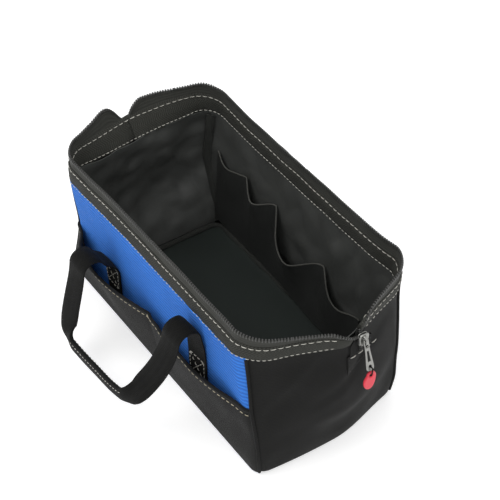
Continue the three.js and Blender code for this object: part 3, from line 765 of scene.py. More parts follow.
@dataclass(frozen=True)
class Plan:
    """Outline of the bag's body seen from above, at any height of its walls."""

    half_length: float = 172.0
    half_width: float = 84.0
    lean: float = 0.0667
    top: float = 145.0
    foot_round: float = 4.0
    foot_spread: float = 3.0
    foot_corner: float = 11.0
    seam_corner: float = 4.0
    mouth_corner: float = 24.0
    end_bulge: float = 18.0
    settled: float = 1.4
    rear_settled: float = 3.5
    front_settled: float = 3.2
    near_foot: float = 5.0
    crease_foot: float = 80.36517
    crease_slope: float = 0.3673
    far_dent: float = 13.0
    far_dent_z: float = 80.0
    far_dent_height: float = 38.0
    near_dent: float = 12.0
    near_mouth: tuple[Numbers, ...] = (
        (0, 6, 14, 27, 42, 58, 75, 85, 95), (190, 188.8, 185.5, 179.5, 173.5, 168, 162, 158.5, 155))
    far_mouth: tuple[Numbers, ...] = (
        (-92, -85, -72, -38, -8, 0, 31, 60, 75, 88, 94),
        (170, 171, 172, 173, 176, 177, 179, 180, 180, 178.5, 177))

    def sizes(self, z: Points) -> tuple[Points, Points, Points]:
        """Half length, half width and corner radius at a height."""
        under = self.foot_round - np.clip(z, 0, self.foot_round)
        tuck = self.foot_round - np.sqrt(self.foot_round ** 2 - under ** 2)
        corner = (self.foot_corner + (self.seam_corner - self.foot_corner) * ease(z, 0, 30)
                  + (self.mouth_corner - self.seam_corner) * ease(z, 45, self.top) ** 1.2)
        wide = self.foot_spread * (1 - ease(z, 8, 60)) - tuck
        return self.half_length + wide, self.half_width + self.lean * z + wide, corner

    def mouth_spread(self, x: Points, y: Points) -> Points:
        """How far the mouth's wire stands out along the bag, from a straight-ended one."""
        reach = np.where(x > 0, table(np.abs(y), *self.near_mouth), table(y, *self.far_mouth))
        return (reach - self.half_length) * ease(np.abs(x), 100, self.half_length)

    def spread(self, x: Points, y: Points, z: Points) -> Points:
        """How far the walls stand out along the bag, from a straight-ended one, at a signed place."""
        a, b, corner = self.sizes(z)
        belly = self.end_bulge * ease(z, -8, 60) * (1 - ease(z, 50, 140))
        belly = belly + self.near_foot * (1 - ease(z, 5, 50)) * (x > 0)
        belly = belly * np.clip((np.abs(x) - a + corner) / corner, 0, 1) * (1 - (y / b) ** 2)
        return belly + ease(z, 25, 146) * self.mouth_spread(x, y)

    def settle(self, x: Points, y: Points, z: Points) -> Points:
        """How far the slack bag has settled across, at a signed place."""
        rear = self.rear_settled * ease(np.abs(x), 90, 170) * ease(y, 20, 80)
        front = self.front_settled * ease(-x, 40, 170) * ease(-y, 20, 80)
        return self.settled * ease(z, 40, 150) + ease(z, 80, 146) * (rear - front)

    def laid(self, x: Points, y: Points, z: Points) -> Points:
        """Points of the slack bag from signed places of a straight-sided one."""
        dented = self.far_dent * np.exp(-((z - self.far_dent_z) / self.far_dent_height) ** 2)
        dented = dented * ease(-x, 110, 170) * ease(-y, 20, 80)
        dented = dented - self.near_dent * (1 - ease(z, 10, 120)) * ease(x, 90, 172) * ease(y, 0, 84)
        return coords(x + np.sign(x) * self.spread(x, y, z) + dented, y + self.settle(x, y, z), z)

    def wall(self, share: Points, z: Points, out: Points, side: Side) -> Points:
        """Points of a long wall.

        Args:
            share: Place along the wall, from -1 at the far corner seam to 1 at the near one.
            z: Height.
            out: Distance outward from the wall's outer face.
            side: Which wall.

        Returns:
            Points of the bag.
        """
        share, z, out = np.broadcast_arrays(share, z, out)
        a, b, corner = self.sizes(z)
        reach = np.abs(share) * (a - corner + corner * math.pi / 4)
        turn = np.maximum(reach - (a - corner), 0) / corner
        x = np.minimum(reach, a - corner) + (corner + out) * np.sin(turn)
        y = b - corner + (corner + out) * np.cos(turn)
        return self.laid(x * np.sign(share), side.value * y, z - self.lean * out)

    def seam_y(self, z: Points) -> Points:
        """Distance of the corner seams from the bag's middle line."""
        _, b, corner = self.sizes(z)
        return b - corner * (1 - math.sqrt(0.5))

    def end(self, y: Points, z: Points, out: Points, end: End) -> Points:
        """Points of an end of the bag, with y measured across it."""
        y, z, out = np.broadcast_arrays(y, z, out)
        a, b, corner = self.sizes(z)
        past = np.maximum(np.abs(y) - (b - corner), 0)
        x = a - corner + np.sqrt(np.maximum(corner ** 2 - past ** 2, 0))
        return self.laid(end.value * x, y, z) + coords(end.value * out, 0 * y, 0 * z)

    def crease_y(self, z: Points) -> Points:
        """Half width of the part of an end that still stands when the mouth is shut."""
        return np.minimum(self.crease_foot - self.crease_slope * z, self.seam_y(z) - 1)


PLAN = Plan()
OUTER_HEIGHTS = (1.5, 146.5)
LINING_HEIGHTS = (6.0, 146.0)


@dataclass(frozen=True)
class SidePart:
    """Part of the bag that belongs to one long side."""

    side: Side
    plan: Plan = PLAN

    @property
    def word(self) -> str:
        """Name of the side in node and body names."""
        return self.side.word

    @property
    def title(self) -> str:
        """Name of the side in piece names."""
        return self.side.title

    @property
    def sign(self) -> int:
        """Sign of Y on this side."""
        return self.side.value

    def pick(self, front: Level, rear: Level) -> Level:
        """The value for this side, of one for the front and one for the rear."""
        return front if self.side is Side.FRONT else rear


@dataclass(frozen=True)
class Floor:
    """Bottom of the bag: outer panel, board and lining with its raised seam."""

    plan: Plan = PLAN
    board_half: Pair = (165.0, 76.0)
    lining_top: float = 6.8
    seam_radius: float = 2.8
    far_slack: float = 24.0
    foot: float = 0.3
    foot_level: float = 1.2
    turned_up: float = 1.4
    panel_thick: float = 1.3
    board_thick: float = 1.2
    seam_out: float = 1.2
    corner: float = 12.0
    dent: float = 6.0
    dent_along: Pair = (90.0, 165.0)
    dent_across: Pair = (10.0, 76.0)

    def near_dent(self, x: Points, y: Points) -> Points:
        """How far the near end's dented rear corner pushes the lining in."""
        return self.dent * ease(x, *self.dent_along) * ease(y, *self.dent_across)

    def outline(self, grow: float) -> Points:
        """Rounded rectangle round the board, larger by grow on each side."""
        x, y = (half + grow - self.corner for half in self.board_half)
        turn = np.linspace(0, math.pi / 2, 7)
        quarters = ((1, 1), (-1, 1), (-1, -1), (1, -1))
        arcs = []
        for k, (side_x, side_y) in enumerate(quarters):
            at = turn + k * math.pi / 2
            arcs.append(coords(side_x * x + self.corner * np.cos(at),
                               side_y * y + self.corner * np.sin(at)))
        return np.concatenate(arcs)

    def panel(self) -> Piece:
        """Outer panel that the bag stands on, its edge turned up into the walls."""
        a, b, _ = self.plan.sizes(np.array(self.foot_level))
        x, y = np.meshgrid(np.linspace(-1, 1, 49) * (a - 1), np.linspace(-1, 1, 25) * (b - 1))
        over_x, over_y = (np.maximum(np.abs(v) - (most - self.corner), 0) for v, most in ((x, a), (y, b)))
        past = np.hypot(over_x, over_y)
        pull = np.where(past > self.corner - 1, (self.corner - 1) / np.maximum(past, 1e-6), 1)
        x, y = (np.sign(v) * (np.minimum(np.abs(v), most - self.corner) + over * pull)
                for v, most, over in ((x, a, over_x), (y, b, over_y)))
        z = self.foot + self.turned_up * ease(past, 5, 11.5) + 0.2 * (1 + wrinkles(x, y, 3, (60, 160)))
        face = self.plan.laid(x, y, np.full(x.shape, self.foot_level))
        face[..., 2] = z
        back = face + np.array([0, 0, self.panel_thick])
        return dress("Bottom_outer_panel", slab(face, back, coords(x, y)), BLACK_CLOTH, "base",
                     ["bottom_panel"])

    def lining(self) -> Piece:
        """Covered board seen inside, slightly dished and wavy along its edges."""
        half_x, half_y = self.board_half
        x, y = np.meshgrid(np.linspace(-1, 1, 81) * half_x, np.linspace(-1, 1, 41) * half_y)
        x = np.maximum(x, -half_x + self.far_slack * ease(-x, 60, 165)) - self.near_dent(x, y)
        rim = np.maximum(np.abs(x) / half_x, np.abs(y) / half_y)
        z = self.lining_top - 0.3 + 0.9 * ease(rim, 0.93, 1) + 0.25 * wrinkles(x, y, 11, (50, 140))
        face, back = coords(x, y, z), coords(x, y, z - self.board_thick)
        return dress("Bottom_lining", slab(face, back, coords(x, y)), BOARD, "base", ["bottom_lining"])

    def seam(self) -> Piece:
        """Bound seam that stands up round the board's edge."""
        x, y = self.outline(self.seam_out).T
        x, y = resampled(coords(x + self.far_slack * ease(-x, 0, 160) - self.near_dent(x, y), y), 260).T
        wave = wrinkles(x, y, 5, (30, 80))
        path = coords(x * (1 - 0.003 * wave), y * (1 - 0.006 * wave), self.lining_top + 1.7 + 0.5 * wave)
        cord = tube(path, self.seam_radius + 0.3 * wave, 8)
        return dress("Bottom_seam_binding", cord, LINING_TAPE, "base")

    def build(self) -> list[Piece]:
        """Makes the floor's pieces."""
        return [self.panel(), self.lining(), self.seam()]


@dataclass(frozen=True)
class Crease:
    """Slanting crease in the cloth of an end, by its place, slope, width and depth."""

    y: float
    z: float
    slope: float
    width: float
    depth: float
    reach: float = 46.0

    def relief(self, y: Points, z: Points) -> Points:
        """How far the cloth stands out at a place."""
        off = (z - self.z - self.slope * (y - self.y)) / self.width
        return self.depth * np.exp(-off ** 2) * np.exp(-((y - self.y) / self.reach) ** 2)


@dataclass(frozen=True)
class EndPanels:
    """Cloth of one end: the standing middle and the two corners that crease and fold away."""

    end: End
    plan: Plan = PLAN
    cloth: float = 1.4
    lining_depth: float = 3.9
    lining_thick: float = 0.8
    soft: float = 2.1
    far_slack: float = 24.0
    fold_y: float = 84.0
    keep: float = 0.05
    taut_keep: float = 0.12
    taut_cloth: Pair = (172.0, 203.0)
    taut_lining: Pair = (167.0, 197.0)
    creases: tuple[Crease, ...] = (
        Crease(10, 100, 0.55, 9, -1.8), Crease(-30, 60, 0.35, 11, -1.4), Crease(45, 96, -0.8, 8, -1.6),
        Crease(-52, 112, 0.9, 9, 1.3), Crease(30, 40, 0.25, 14, -1.2))

    def relief(self, y: Points, z: Points) -> Points:
        """Soft folds of the outer cloth: broad waves and a few slanting creases."""
        seed = 21 if self.end is End.NEAR else 29
        calm = ease(z, 2, 24) * (1 - 0.6 * ease(z, 120, 145)) * ease(self.plan.seam_y(z) - np.abs(y), 0, 14)
        broad = self.soft * 0.6 * wrinkles(y, z, seed, (45, 120))
        return calm * sum((crease.relief(y, z) for crease in self.creases), broad)

    def lining_relief(self, y: Points, z: Points) -> Points:
        """Crumpled lining, always behind the outer cloth."""
        seed = 33 if self.end is End.NEAR else 37
        calm = ease(z, 6, 30) * ease(self.plan.seam_y(z) - np.abs(y), 0, 10)
        slack = self.far_slack * (1 - ease(z, 2, 100)) if self.end is End.FAR else 0 * z
        rough = 2.1 * wrinkles(y, z, seed, (26, 90)) + 1.6 * np.abs(wrinkles(y, z, seed + 1, (30, 70)))
        return calm * np.maximum(rough, -2.2) + slack

    def sheet(self, low: Callable, high: Callable, columns: int, inner: bool) -> Skin:
        """Part of the end between two places across it, outer cloth or lining."""
        z = np.linspace(*(LINING_HEIGHTS if inner else OUTER_HEIGHTS), 45 if inner else 47)[:, None]
        y = low(z) + (high(z) - low(z)) * np.linspace(0, 1, columns)[None, :]
        z = np.broadcast_to(z, y.shape)
        out, thick = self.relief(y, z), -self.cloth
        if inner:
            out = np.minimum(out, 0) - self.lining_depth - self.lining_relief(y, z)
            thick = self.lining_thick
        face, back = (self.plan.end(y, z, level, self.end) for level in (out, out + thick))
        return slab(face, back, coords(y, z))

    def draw_taut(self, piece: Piece, foot: float, top: float) -> None:
        """Gives the far end's cloth or lining a mesh of its own.

        Args:
            piece: The far end's cloth or lining.
            foot: Not used.
            top: Not used.
        """
        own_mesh(piece)

    def build(self) -> list[Piece]:
        """Makes the end's cloth and lining."""
        crease, seam = self.plan.crease_y, self.plan.seam_y
        end, made = self.end, []
        for inner, finish, word in ((False, BLACK_CLOTH, "panel"), (True, LINING, "lining")):
            middle = self.sheet(lambda z: -crease(z), crease, 41, inner)
            made.append(dress(f"{end.title}_end_{word}", middle, finish, "base",
                              [f"{end.word}_end_{word}"]))
            if end is End.FAR:
                self.draw_taut(made[-1], *(self.taut_lining if inner else self.taut_cloth))
            for side in Side:
                near_seam = self.sheet(lambda z: side.value * crease(z),
                                       lambda z: side.value * (seam(z) - 0.2), 23, inner)
                node = f"{side.word}_{end.word}_gusset" + ("_lining" if inner else "")
                piece = dress(node.capitalize(), near_seam, finish, f"{side.word}_wall", [node])
                f"{side.word}_fold"
                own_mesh(piece)
                made.append(piece)
        return made


@dataclass(frozen=True)
class LongWall(SidePart):
    """Long wall: blue cloth, lining, corner piping and bindings, and the outer pocket pair."""

    cloth: float = 1.4
    lining_depth: float = 4.5
    lining_thick: float = 0.8
    far_slack: float = 22.0
    pocket_height: float = 83.8
    pocket_gape: float = 16.0
    pocket_middle: float = 6.0
    pocket_cloth: float = 1.5
    hem_radius: float = 1.7
    piping_radius: float = 1.7
    piping_run: Triple = (1.0, 3.0, 144.5)
    binding_run: Triple = (-6.4, 9.0, 143.5)
    binding_width: float = 10.0
    pocket_foot: float = 2.5
    pocket_off: float = 2.1
    cloth_half: float = 178.0
    belly: float = 2.2
    slack: float = 1.3
    pucker: float = 21.0
    pucker_depth: float = 0.5
    hem_stitch: Stitching = Stitching(4.4, 1.8, 0.8)
    tack_stitch: Stitching = Stitching(7, 1, 1.3)

    @property
    def body(self) -> str:
        """CAD body that the wall's pieces ride on."""
        return f"{self.word}_wall"

    def relief(self, share: Points, z: Points) -> Points:
        """Soft bulge, slack folds, and small puckers under the band."""
        seed = self.pick(41, 47)
        x = share * self.plan.half_length
        calm = ease(1 - np.abs(share), 0, 0.07) * ease(z, 2, 20)
        belly = self.belly * np.sin(np.pi * np.clip(z / 150, 0, 1)) * (1 - share ** 2)
        slack = self.slack * wrinkles(x, z, seed, (55, 150)) * (1 - 0.5 * ease(z, 125, 146))
        drift = 2 * wrinkles(x, 0 * z, seed, (60, 140))
        under_band = self.pucker_depth * np.exp(-(LINING_HEIGHTS[1] - z) / 15)
        pucker = under_band * np.sin(2 * np.pi * x / self.pucker + drift)
        return calm * (belly + slack + pucker) + 0.8 * ease(z, 105, 140)

    def made(self, name: str, skin: Skin, finish: Finish, stands: bool = True) -> Piece:
        """Makes a piece of the wall, which stands for the CAD node of its name or for none."""
        nodes = [f"{self.word}_{name}"] if stands else []
        return dress(f"{self.title}_{name}", skin, finish, self.body, nodes)

    def grid(self, heights: Pair, rows: int) -> tuple[Points, Points]:
        """Shares and heights over the wall."""
        return np.meshgrid(np.linspace(-1, 1, 131), np.linspace(*heights, rows))

    def sheet(self, share: Points, z: Points, out: Points, thick: float, half: float) -> Skin:
        """Sheet of the wall whose back is further out by thick and whose cloth reaches half each way."""
        face, back = (self.plan.wall(share, z, level, self.side) for level in (out, out + thick))
        return slab(face, back, coords(share * half, z))

    def outer(self) -> Piece:
        """Blue outer cloth."""
        share, z = self.grid(OUTER_HEIGHTS, 49)
        skin = self.sheet(share, z, self.relief(share, z), -self.cloth, self.cloth_half)
        return self.made("outer_panel", skin, BLUE_CLOTH)

    def lining(self) -> Piece:
        """Crumpled lining behind the outer cloth."""
        share, z = self.grid(LINING_HEIGHTS, 45)
        x, seed = share * self.plan.half_length, self.pick(53, 59)
        calm = ease(1 - np.abs(share), 0, 0.06) * ease(z, 6, 24)
        rough = 1.5 * wrinkles(x, z, seed, (40, 130)) + 1.1 * np.abs(wrinkles(x, z, seed + 1, (30, 80)))
        out = np.minimum(self.relief(share, z), 0) - self.lining_depth - calm * np.maximum(rough, -1.2)
        skin = self.sheet(share, z, out, self.lining_thick, self.plan.half_length)
        return self.made("lining", skin, LINING)

    def corner_line(self, end: End, out: float, low: float, high: float, steps: int) -> Points:
        """Points along a corner seam, some way out of it or into the bag."""
        z = np.linspace(low, high, steps)
        seam = self.plan.wall(np.full(steps, float(end.value)), z, np.zeros(steps), self.side)
        lean_out = np.array([end.value, self.sign, 0]) * math.sqrt(0.5)
        seed = 61 + end.value + 2 * self.sign
        along_seam = np.array([1.0, -self.sign * end.value, 0])
        sway = 0.7 * wrinkles(z, 0 * z, seed, (35, 90))[:, None] * along_seam
        return seam + lean_out * out + sway * (ease(z, low, low + 20) * ease(-z, -high, 20 - high))[:, None]

    def corners(self) -> list[Piece]:
        """Piping outside and binding tape inside each corner seam."""
        pieces = []
        for end in End:
            line = self.corner_line(end, *self.piping_run, 60)
            pieces.append(self.made(f"{end.word}_piping", tube(line, self.piping_radius, 10), BLACK_CLOTH))
            inner = self.corner_line(end, *self.binding_run, 60)
            z = inner[:, 2]
            if end is End.FAR:
                inner[:, 0] += self.far_slack * (1 - ease(z, 2, 100))
            across = np.broadcast_to([end.value, -self.sign, 0], inner.shape) * math.sqrt(0.5)
            width = self.binding_width + 1.2 * wrinkles(z, 0 * z, 71, (30, 70))
            strip = ribbon(inner, across, width, np.full(60, 1.5), -1.5 * end.value * self.sign)
            pieces.append(self.made(f"{end.word}_corner_binding", strip, LINING_TAPE, False))
        return pieces

    def swell(self, share: Points) -> Points:
        """How far the pocket's edge hangs away from the wall."""
        gape = self.pocket_gape * self.pick(1 - 0.6 * ease(share, 0, 0.1), 0.75)
        return (gape * np.abs(np.sin(np.pi * share)) ** 0.9 * ease(1 - np.abs(share), 0.02, 0.26)
                + self.pocket_middle * np.cos(np.pi * share / 2))

    def pocket_at(self, share: Points, t: Points, out: float) -> Points:
        """Points of the pocket's outer face, with t from its foot to its edge."""
        z = self.pocket_foot + (self.pocket_height - self.pocket_foot) * t
        z = z - 2.5 * t ** 3 * np.sin(np.pi * share) ** 2
        calm = ease(1 - np.abs(share), 0, 0.08)
        slack = 1.1 * wrinkles(share * self.plan.half_length, z, 83 + self.sign, (40, 110)) * calm * t
        hang = (self.swell(share) + slack) * np.maximum(t, 0) ** 1.35
        away = self.relief(share, z) + self.pocket_off + hang
        return self.plan.wall(share, z, away + out, self.side)

    def pocket(self) -> list[Piece]:
        """Pocket panel, its rolled hem, the stitches under the hem and the bartack at its middle."""
        share, t = np.meshgrid(np.linspace(-0.995, 0.995, 131), np.linspace(0, 1, 27))
        skin = slab(self.pocket_at(share, t, 0), self.pocket_at(share, t, -self.pocket_cloth),
                    coords(share * 190, t * 84))
        run = np.linspace(-0.99, 0.99, 260)
        edge = self.pocket_at(run, np.ones(260), -self.pocket_cloth / 2) + np.array([0, 0, 1.0])
        row = self.pocket_at(run, np.full(260, 0.945), 0.0)
        out = np.broadcast_to([0, self.sign, 0.1], row.shape)
        tack = self.pocket_at(np.zeros(6), np.linspace(0.9, 1.02, 6), 0.5)
        tack_out = np.broadcast_to([0, self.sign, 0.0], tack.shape)
        bars = [self.tack_stitch.row(tack + np.array([dx, 0, 0]), tack_out) for dx in (-1.3, 0, 1.3)]
        return [self.made("pocket_panel", skin, BLACK_CLOTH),
                self.made("pocket_hem", tube(edge, self.hem_radius, 8), BLACK_CLOTH),
                self.made("pocket_hem_stitches", self.hem_stitch.row(row, out), HEM_THREAD, False),
                self.made("pocket_bartack", joined(bars), HEM_THREAD, False)]

    def build(self) -> list[Piece]:
        """Makes the wall's pieces."""
        return [self.outer(), self.lining(), *self.corners(), *self.pocket()]


@dataclass(frozen=True)
class InnerPockets:
    """Row of slack pockets sewn to the rear wall's lining."""

    plan: Plan = PLAN
    seams: Numbers = (-147.0, -95.0, -40.0, 47.0, 112.0)
    heights: Numbers = (103.0, 104.0, 104.0, 85.0, 61.0)
    slacks: Numbers = (8.0, 13.0, 32.0, 14.0)
    gapes: Numbers = (3.0, 9.0, 16.0, 9.0)
    depth: float = 7.0
    foot: float = 13.0
    binding_radius: float = 0.85

    def sag(self, x: Points) -> tuple[Points, Points, Points]:
        """How slack the edge is at a place: 0 at each seam, most nearer the far seam.

        Args:
            x: Places along the bag.

        Returns:
            Share of the slack, how far the edge dips, and how far it gapes.
        """
        seams = np.array(self.seams)
        after = np.clip(np.searchsorted(seams, x, side="right"), 1, len(seams) - 1)
        share = np.clip((x - seams[after - 1]) / (seams[after] - seams[after - 1]), 0, 1)
        sag = np.sin(np.pi * share ** 0.8) ** 1.6
        return sag, sag * np.array(self.slacks)[after - 1], sag * np.array(self.gapes)[after - 1]

    def at(self, x: Points, t: Points, inward: float) -> Points:
        """Points of the pocket cloth, with t from its foot to its edge."""
        sag, dip, gape = self.sag(x)
        z = self.foot + (np.interp(x, self.seams, self.heights) - dip - self.foot) * t
        slack = 1.6 * wrinkles(x, z, 97, (28, 70)) * t * sag
        away = self.depth + 7 * ease(x, -60, 60) * (1 - t) + (gape + slack) * t ** 1.4 + inward
        return self.plan.laid(x, self.plan.half_width + self.plan.lean * z - away, z)

    def build(self) -> list[Piece]:
        """Makes the pocket cloth and its bound edge."""
        x, t = np.meshgrid(np.linspace(self.seams[0], self.seams[-1], 201), np.linspace(0, 1, 19))
        skin = slab(self.at(x, t, 0.8), self.at(x, t, 0), coords(x, t * 90))
        run = np.linspace(self.seams[0], self.seams[-1], 400)
        edge = self.at(run, np.ones(400), 0.4) + np.array([0, 0, 0.8])
        return [
            dress("Inner_pocket_panel", skin, POCKET_LINING, "rear_wall", ["inner_pocket_panel"]),
            dress("Inner_pocket_binding", tube(edge, self.binding_radius, 6), POCKET_TAPE, "rear_wall",
                  ["inner_pocket_binding"]),
        ]


# ---------------------------------------------------------------- handles

@dataclass(frozen=True)
class Handle(SidePart):
    """Carrying handle of a long wall: one strap from anchor to anchor, folded along its grip."""

    lean: float = math.atan(11 / 165)
    wall_y: float = 84.0
    spread: float = 80.0
    width: float = 28.0
    thick: float = 2.2
    sewn_path: Outline = ((1.4, 34.0), (1.5, 64.0), (1.8, 94.0))
    sewn_reach: Pair = (3.2, 12.0)
    wall_heights: Pair = (5.0, 145.0)
    bend_out: float = 18.0
    far_lift: float = 13.0
    bend_radius: float = 13.0
    bend_height: float = 116.0
    tilt: float = 0.175
    grip_half: float = 58.0
    grip_height: float = 48.0
    grip_out: float = 75.0
    grip_width: float = 14.0
    grip_thick: float = 5.5
    grip_sag: float = 4.0
    hang_shares: Numbers = (0.15, 0.3, 0.45, 0.6, 0.75, 0.88)
    waviness: float = 0.9
    stitch_out: float = 2.9
    grip_across: Triple = (0.175, 0, -1.0)
    grip_steps: int = 12
    blend_y: Pair = (0.100, 0.126)
    blend_z: float = 0.1
    boxes: tuple[Pair, Pair] = ((62.0, 90.0), (58.0, 84.0))
    stitch: Stitching = Stitching(3.6, 1.5, 0.85)

    def placed(self, local: Points) -> Points:
        """Points of the bag from (along, out of the wall, up the wall)."""
        x, out, up = local[..., 0], local[..., 1], local[..., 2]
        y = self.wall_y + out * math.cos(self.lean) + up * math.sin(self.lean)
        z = up * math.cos(self.lean) - out * math.sin(self.lean)
        x, y = -self.sign * x, self.sign * y
        bulge = (1 - ease(out, *self.sewn_reach)) * self.wall_bulge(x, up)
        return coords(x, y + self.plan.settle(x, y, z) + self.sign * bulge, z)

    def wall_bulge(self, x: Points, up: Points) -> Points:
        """How far the slack wall stands out of its own flat face, at a place on it."""
        height = np.clip(up * math.cos(self.lean), *self.wall_heights)
        share = x / (self.plan.half_length - 1)
        face = self.plan.wall(share, height, LongWall(self.side).relief(share, height), self.side)[..., 1]
        level = self.sign * (self.wall_y + height * self.plan.lean)
        return np.maximum(self.sign * (face - level - self.plan.settle(x, level, height)), 0)

    def leg(self, end: int) -> Points:
        """Path from an anchor over the bend and down to the grip, in wall terms."""
        bend = self.bend_height + end * self.spread * self.tilt
        bend_out = self.bend_out + (self.far_lift if end < 0 else 0)
        grip = self.grip_height + end * self.grip_half * self.tilt
        points = [(self.spread, out, min(up, bend - 12)) for out, up in self.sewn_path]
        for turn in np.linspace(0.1, math.pi, 9):
            points.append((self.spread, bend_out - self.bend_radius * math.cos(turn),
                           bend + self.bend_radius * math.sin(turn)))
        start = bend_out + self.bend_radius
        for share in self.hang_shares:
            points.append((self.spread + (self.grip_half + 3 - self.spread) * share ** 2,
                           start + (self.grip_out - start) * share ** 1.3, bend + (grip - bend) * share))
        return np.array(points) * np.array([end, 1, 1])

    def path(self) -> tuple[Points, Points, Points]:
        """Middle line of the strap, the direction across it, and how folded it is."""
        count = self.grip_steps
        grip_x = np.linspace(self.grip_half - 6, 6 - self.grip_half, count)
        sag = self.grip_sag * (1 - (grip_x / self.grip_half) ** 2)
        grip = coords(grip_x, self.grip_out, self.grip_height + grip_x * self.tilt - sag)
        near, far = self.leg(1), self.leg(-1)[::-1]
        line = np.concatenate([near, grip, far])
        hint = np.concatenate([np.tile([1.0, 0, 0], (len(near), 1)), np.tile(self.grip_across, (count, 1)),
                               np.tile([-1.0, 0, 0], (len(far), 1))])
        folded = np.concatenate([0 * near[:, 0], np.ones(count), 0 * far[:, 0]])
        folded[len(near) - 1] = folded[len(near) + count] = 0.4
        whole = resampled(rounded(np.concatenate([line, hint, folded[:, None]], 1), 3)[:, :7], 320)
        return whole[:, :3], whole[:, 3:6], whole[:, 6]

    def build(self) -> list[Piece]:
        """Makes the strap, its anchor stitches and the stitches along the grip."""
        line, across, folded = self.path()
        run = run_of(line)
        calm = ease(run, 60, 100) * ease(-run, -run[-1] + 60, -run[-1] + 100)
        line = line + coords(0, self.waviness * wrinkles(run, 0 * run, 101, (50, 120)) * calm, 0)
        width = self.width + (self.grip_width - self.width) * folded
        thick = self.thick + (self.grip_thick - self.thick) * folded
        ahead = heading(line)
        across = squared(across, ahead)
        up = np.cross(ahead, across)
        strap = ribbon(self.placed(line), self.placed(line + across) - self.placed(line), width, thick, 0.5)
        gripped = folded > 0.9
        rows = []
        for face in (-1, 1):
            away = up[gripped] * face
            edge = line[gripped] - across[gripped] * (0.3 * self.grip_width)
            edge = edge + away * (thick[gripped, None] * 0.5)
            rows.append(self.stitch.row(self.placed(edge), self.placed(edge + away) - self.placed(edge)))
        made, word = [], self.word
        nodes = [f"{word}_handle_strap", f"{word}_near_handle_leg", f"{word}_far_handle_leg"]
        for name, skin, finish, stands_for in (("handle_strap", strap, STRAP, nodes),
                                               ("grip_stitches", joined(rows), WHITE_THREAD, [])):
            piece = dress(f"{self.title}_{name}", skin, finish, "", stands_for, 50)
            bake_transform(piece)
            made.append(piece)
        made.append(dress(f"{self.title}_anchor_stitches", self.anchors(), WHITE_THREAD, f"{word}_wall"))
        return made

    def anchors(self) -> Skin:
        """Box of stitches with a cross in it at each foot of the strap."""
        rows = []
        half, share = self.width / 2 - 3, np.linspace(0, 1, 12)[:, None]
        for end, (low, high) in zip((1, -1), self.boxes):
            a, b, c, d = (-half, low), (half, low), (half, high), (-half, high)
            for start, stop in ((a, b), (b, c), (c, d), (d, a), (a, c), (b, d)):
                flat = (1 - share) * np.array(start) + share * np.array(stop)
                line = coords(end * self.spread + flat[:, 0], self.stitch_out, flat[:, 1])
                up = self.placed(line + np.array([0, 1.0, 0])) - self.placed(line)
                rows.append(self.stitch.row(self.placed(line), up))
        return joined(rows)


# ---------------------------------------------------------------- mouth

class Stretch(Enum):
    """Part of one half of the mouth: the long side with its corners, or an end up to the hinge."""

    LONG = "long"
    NEAR = "near"
    FAR = "far"


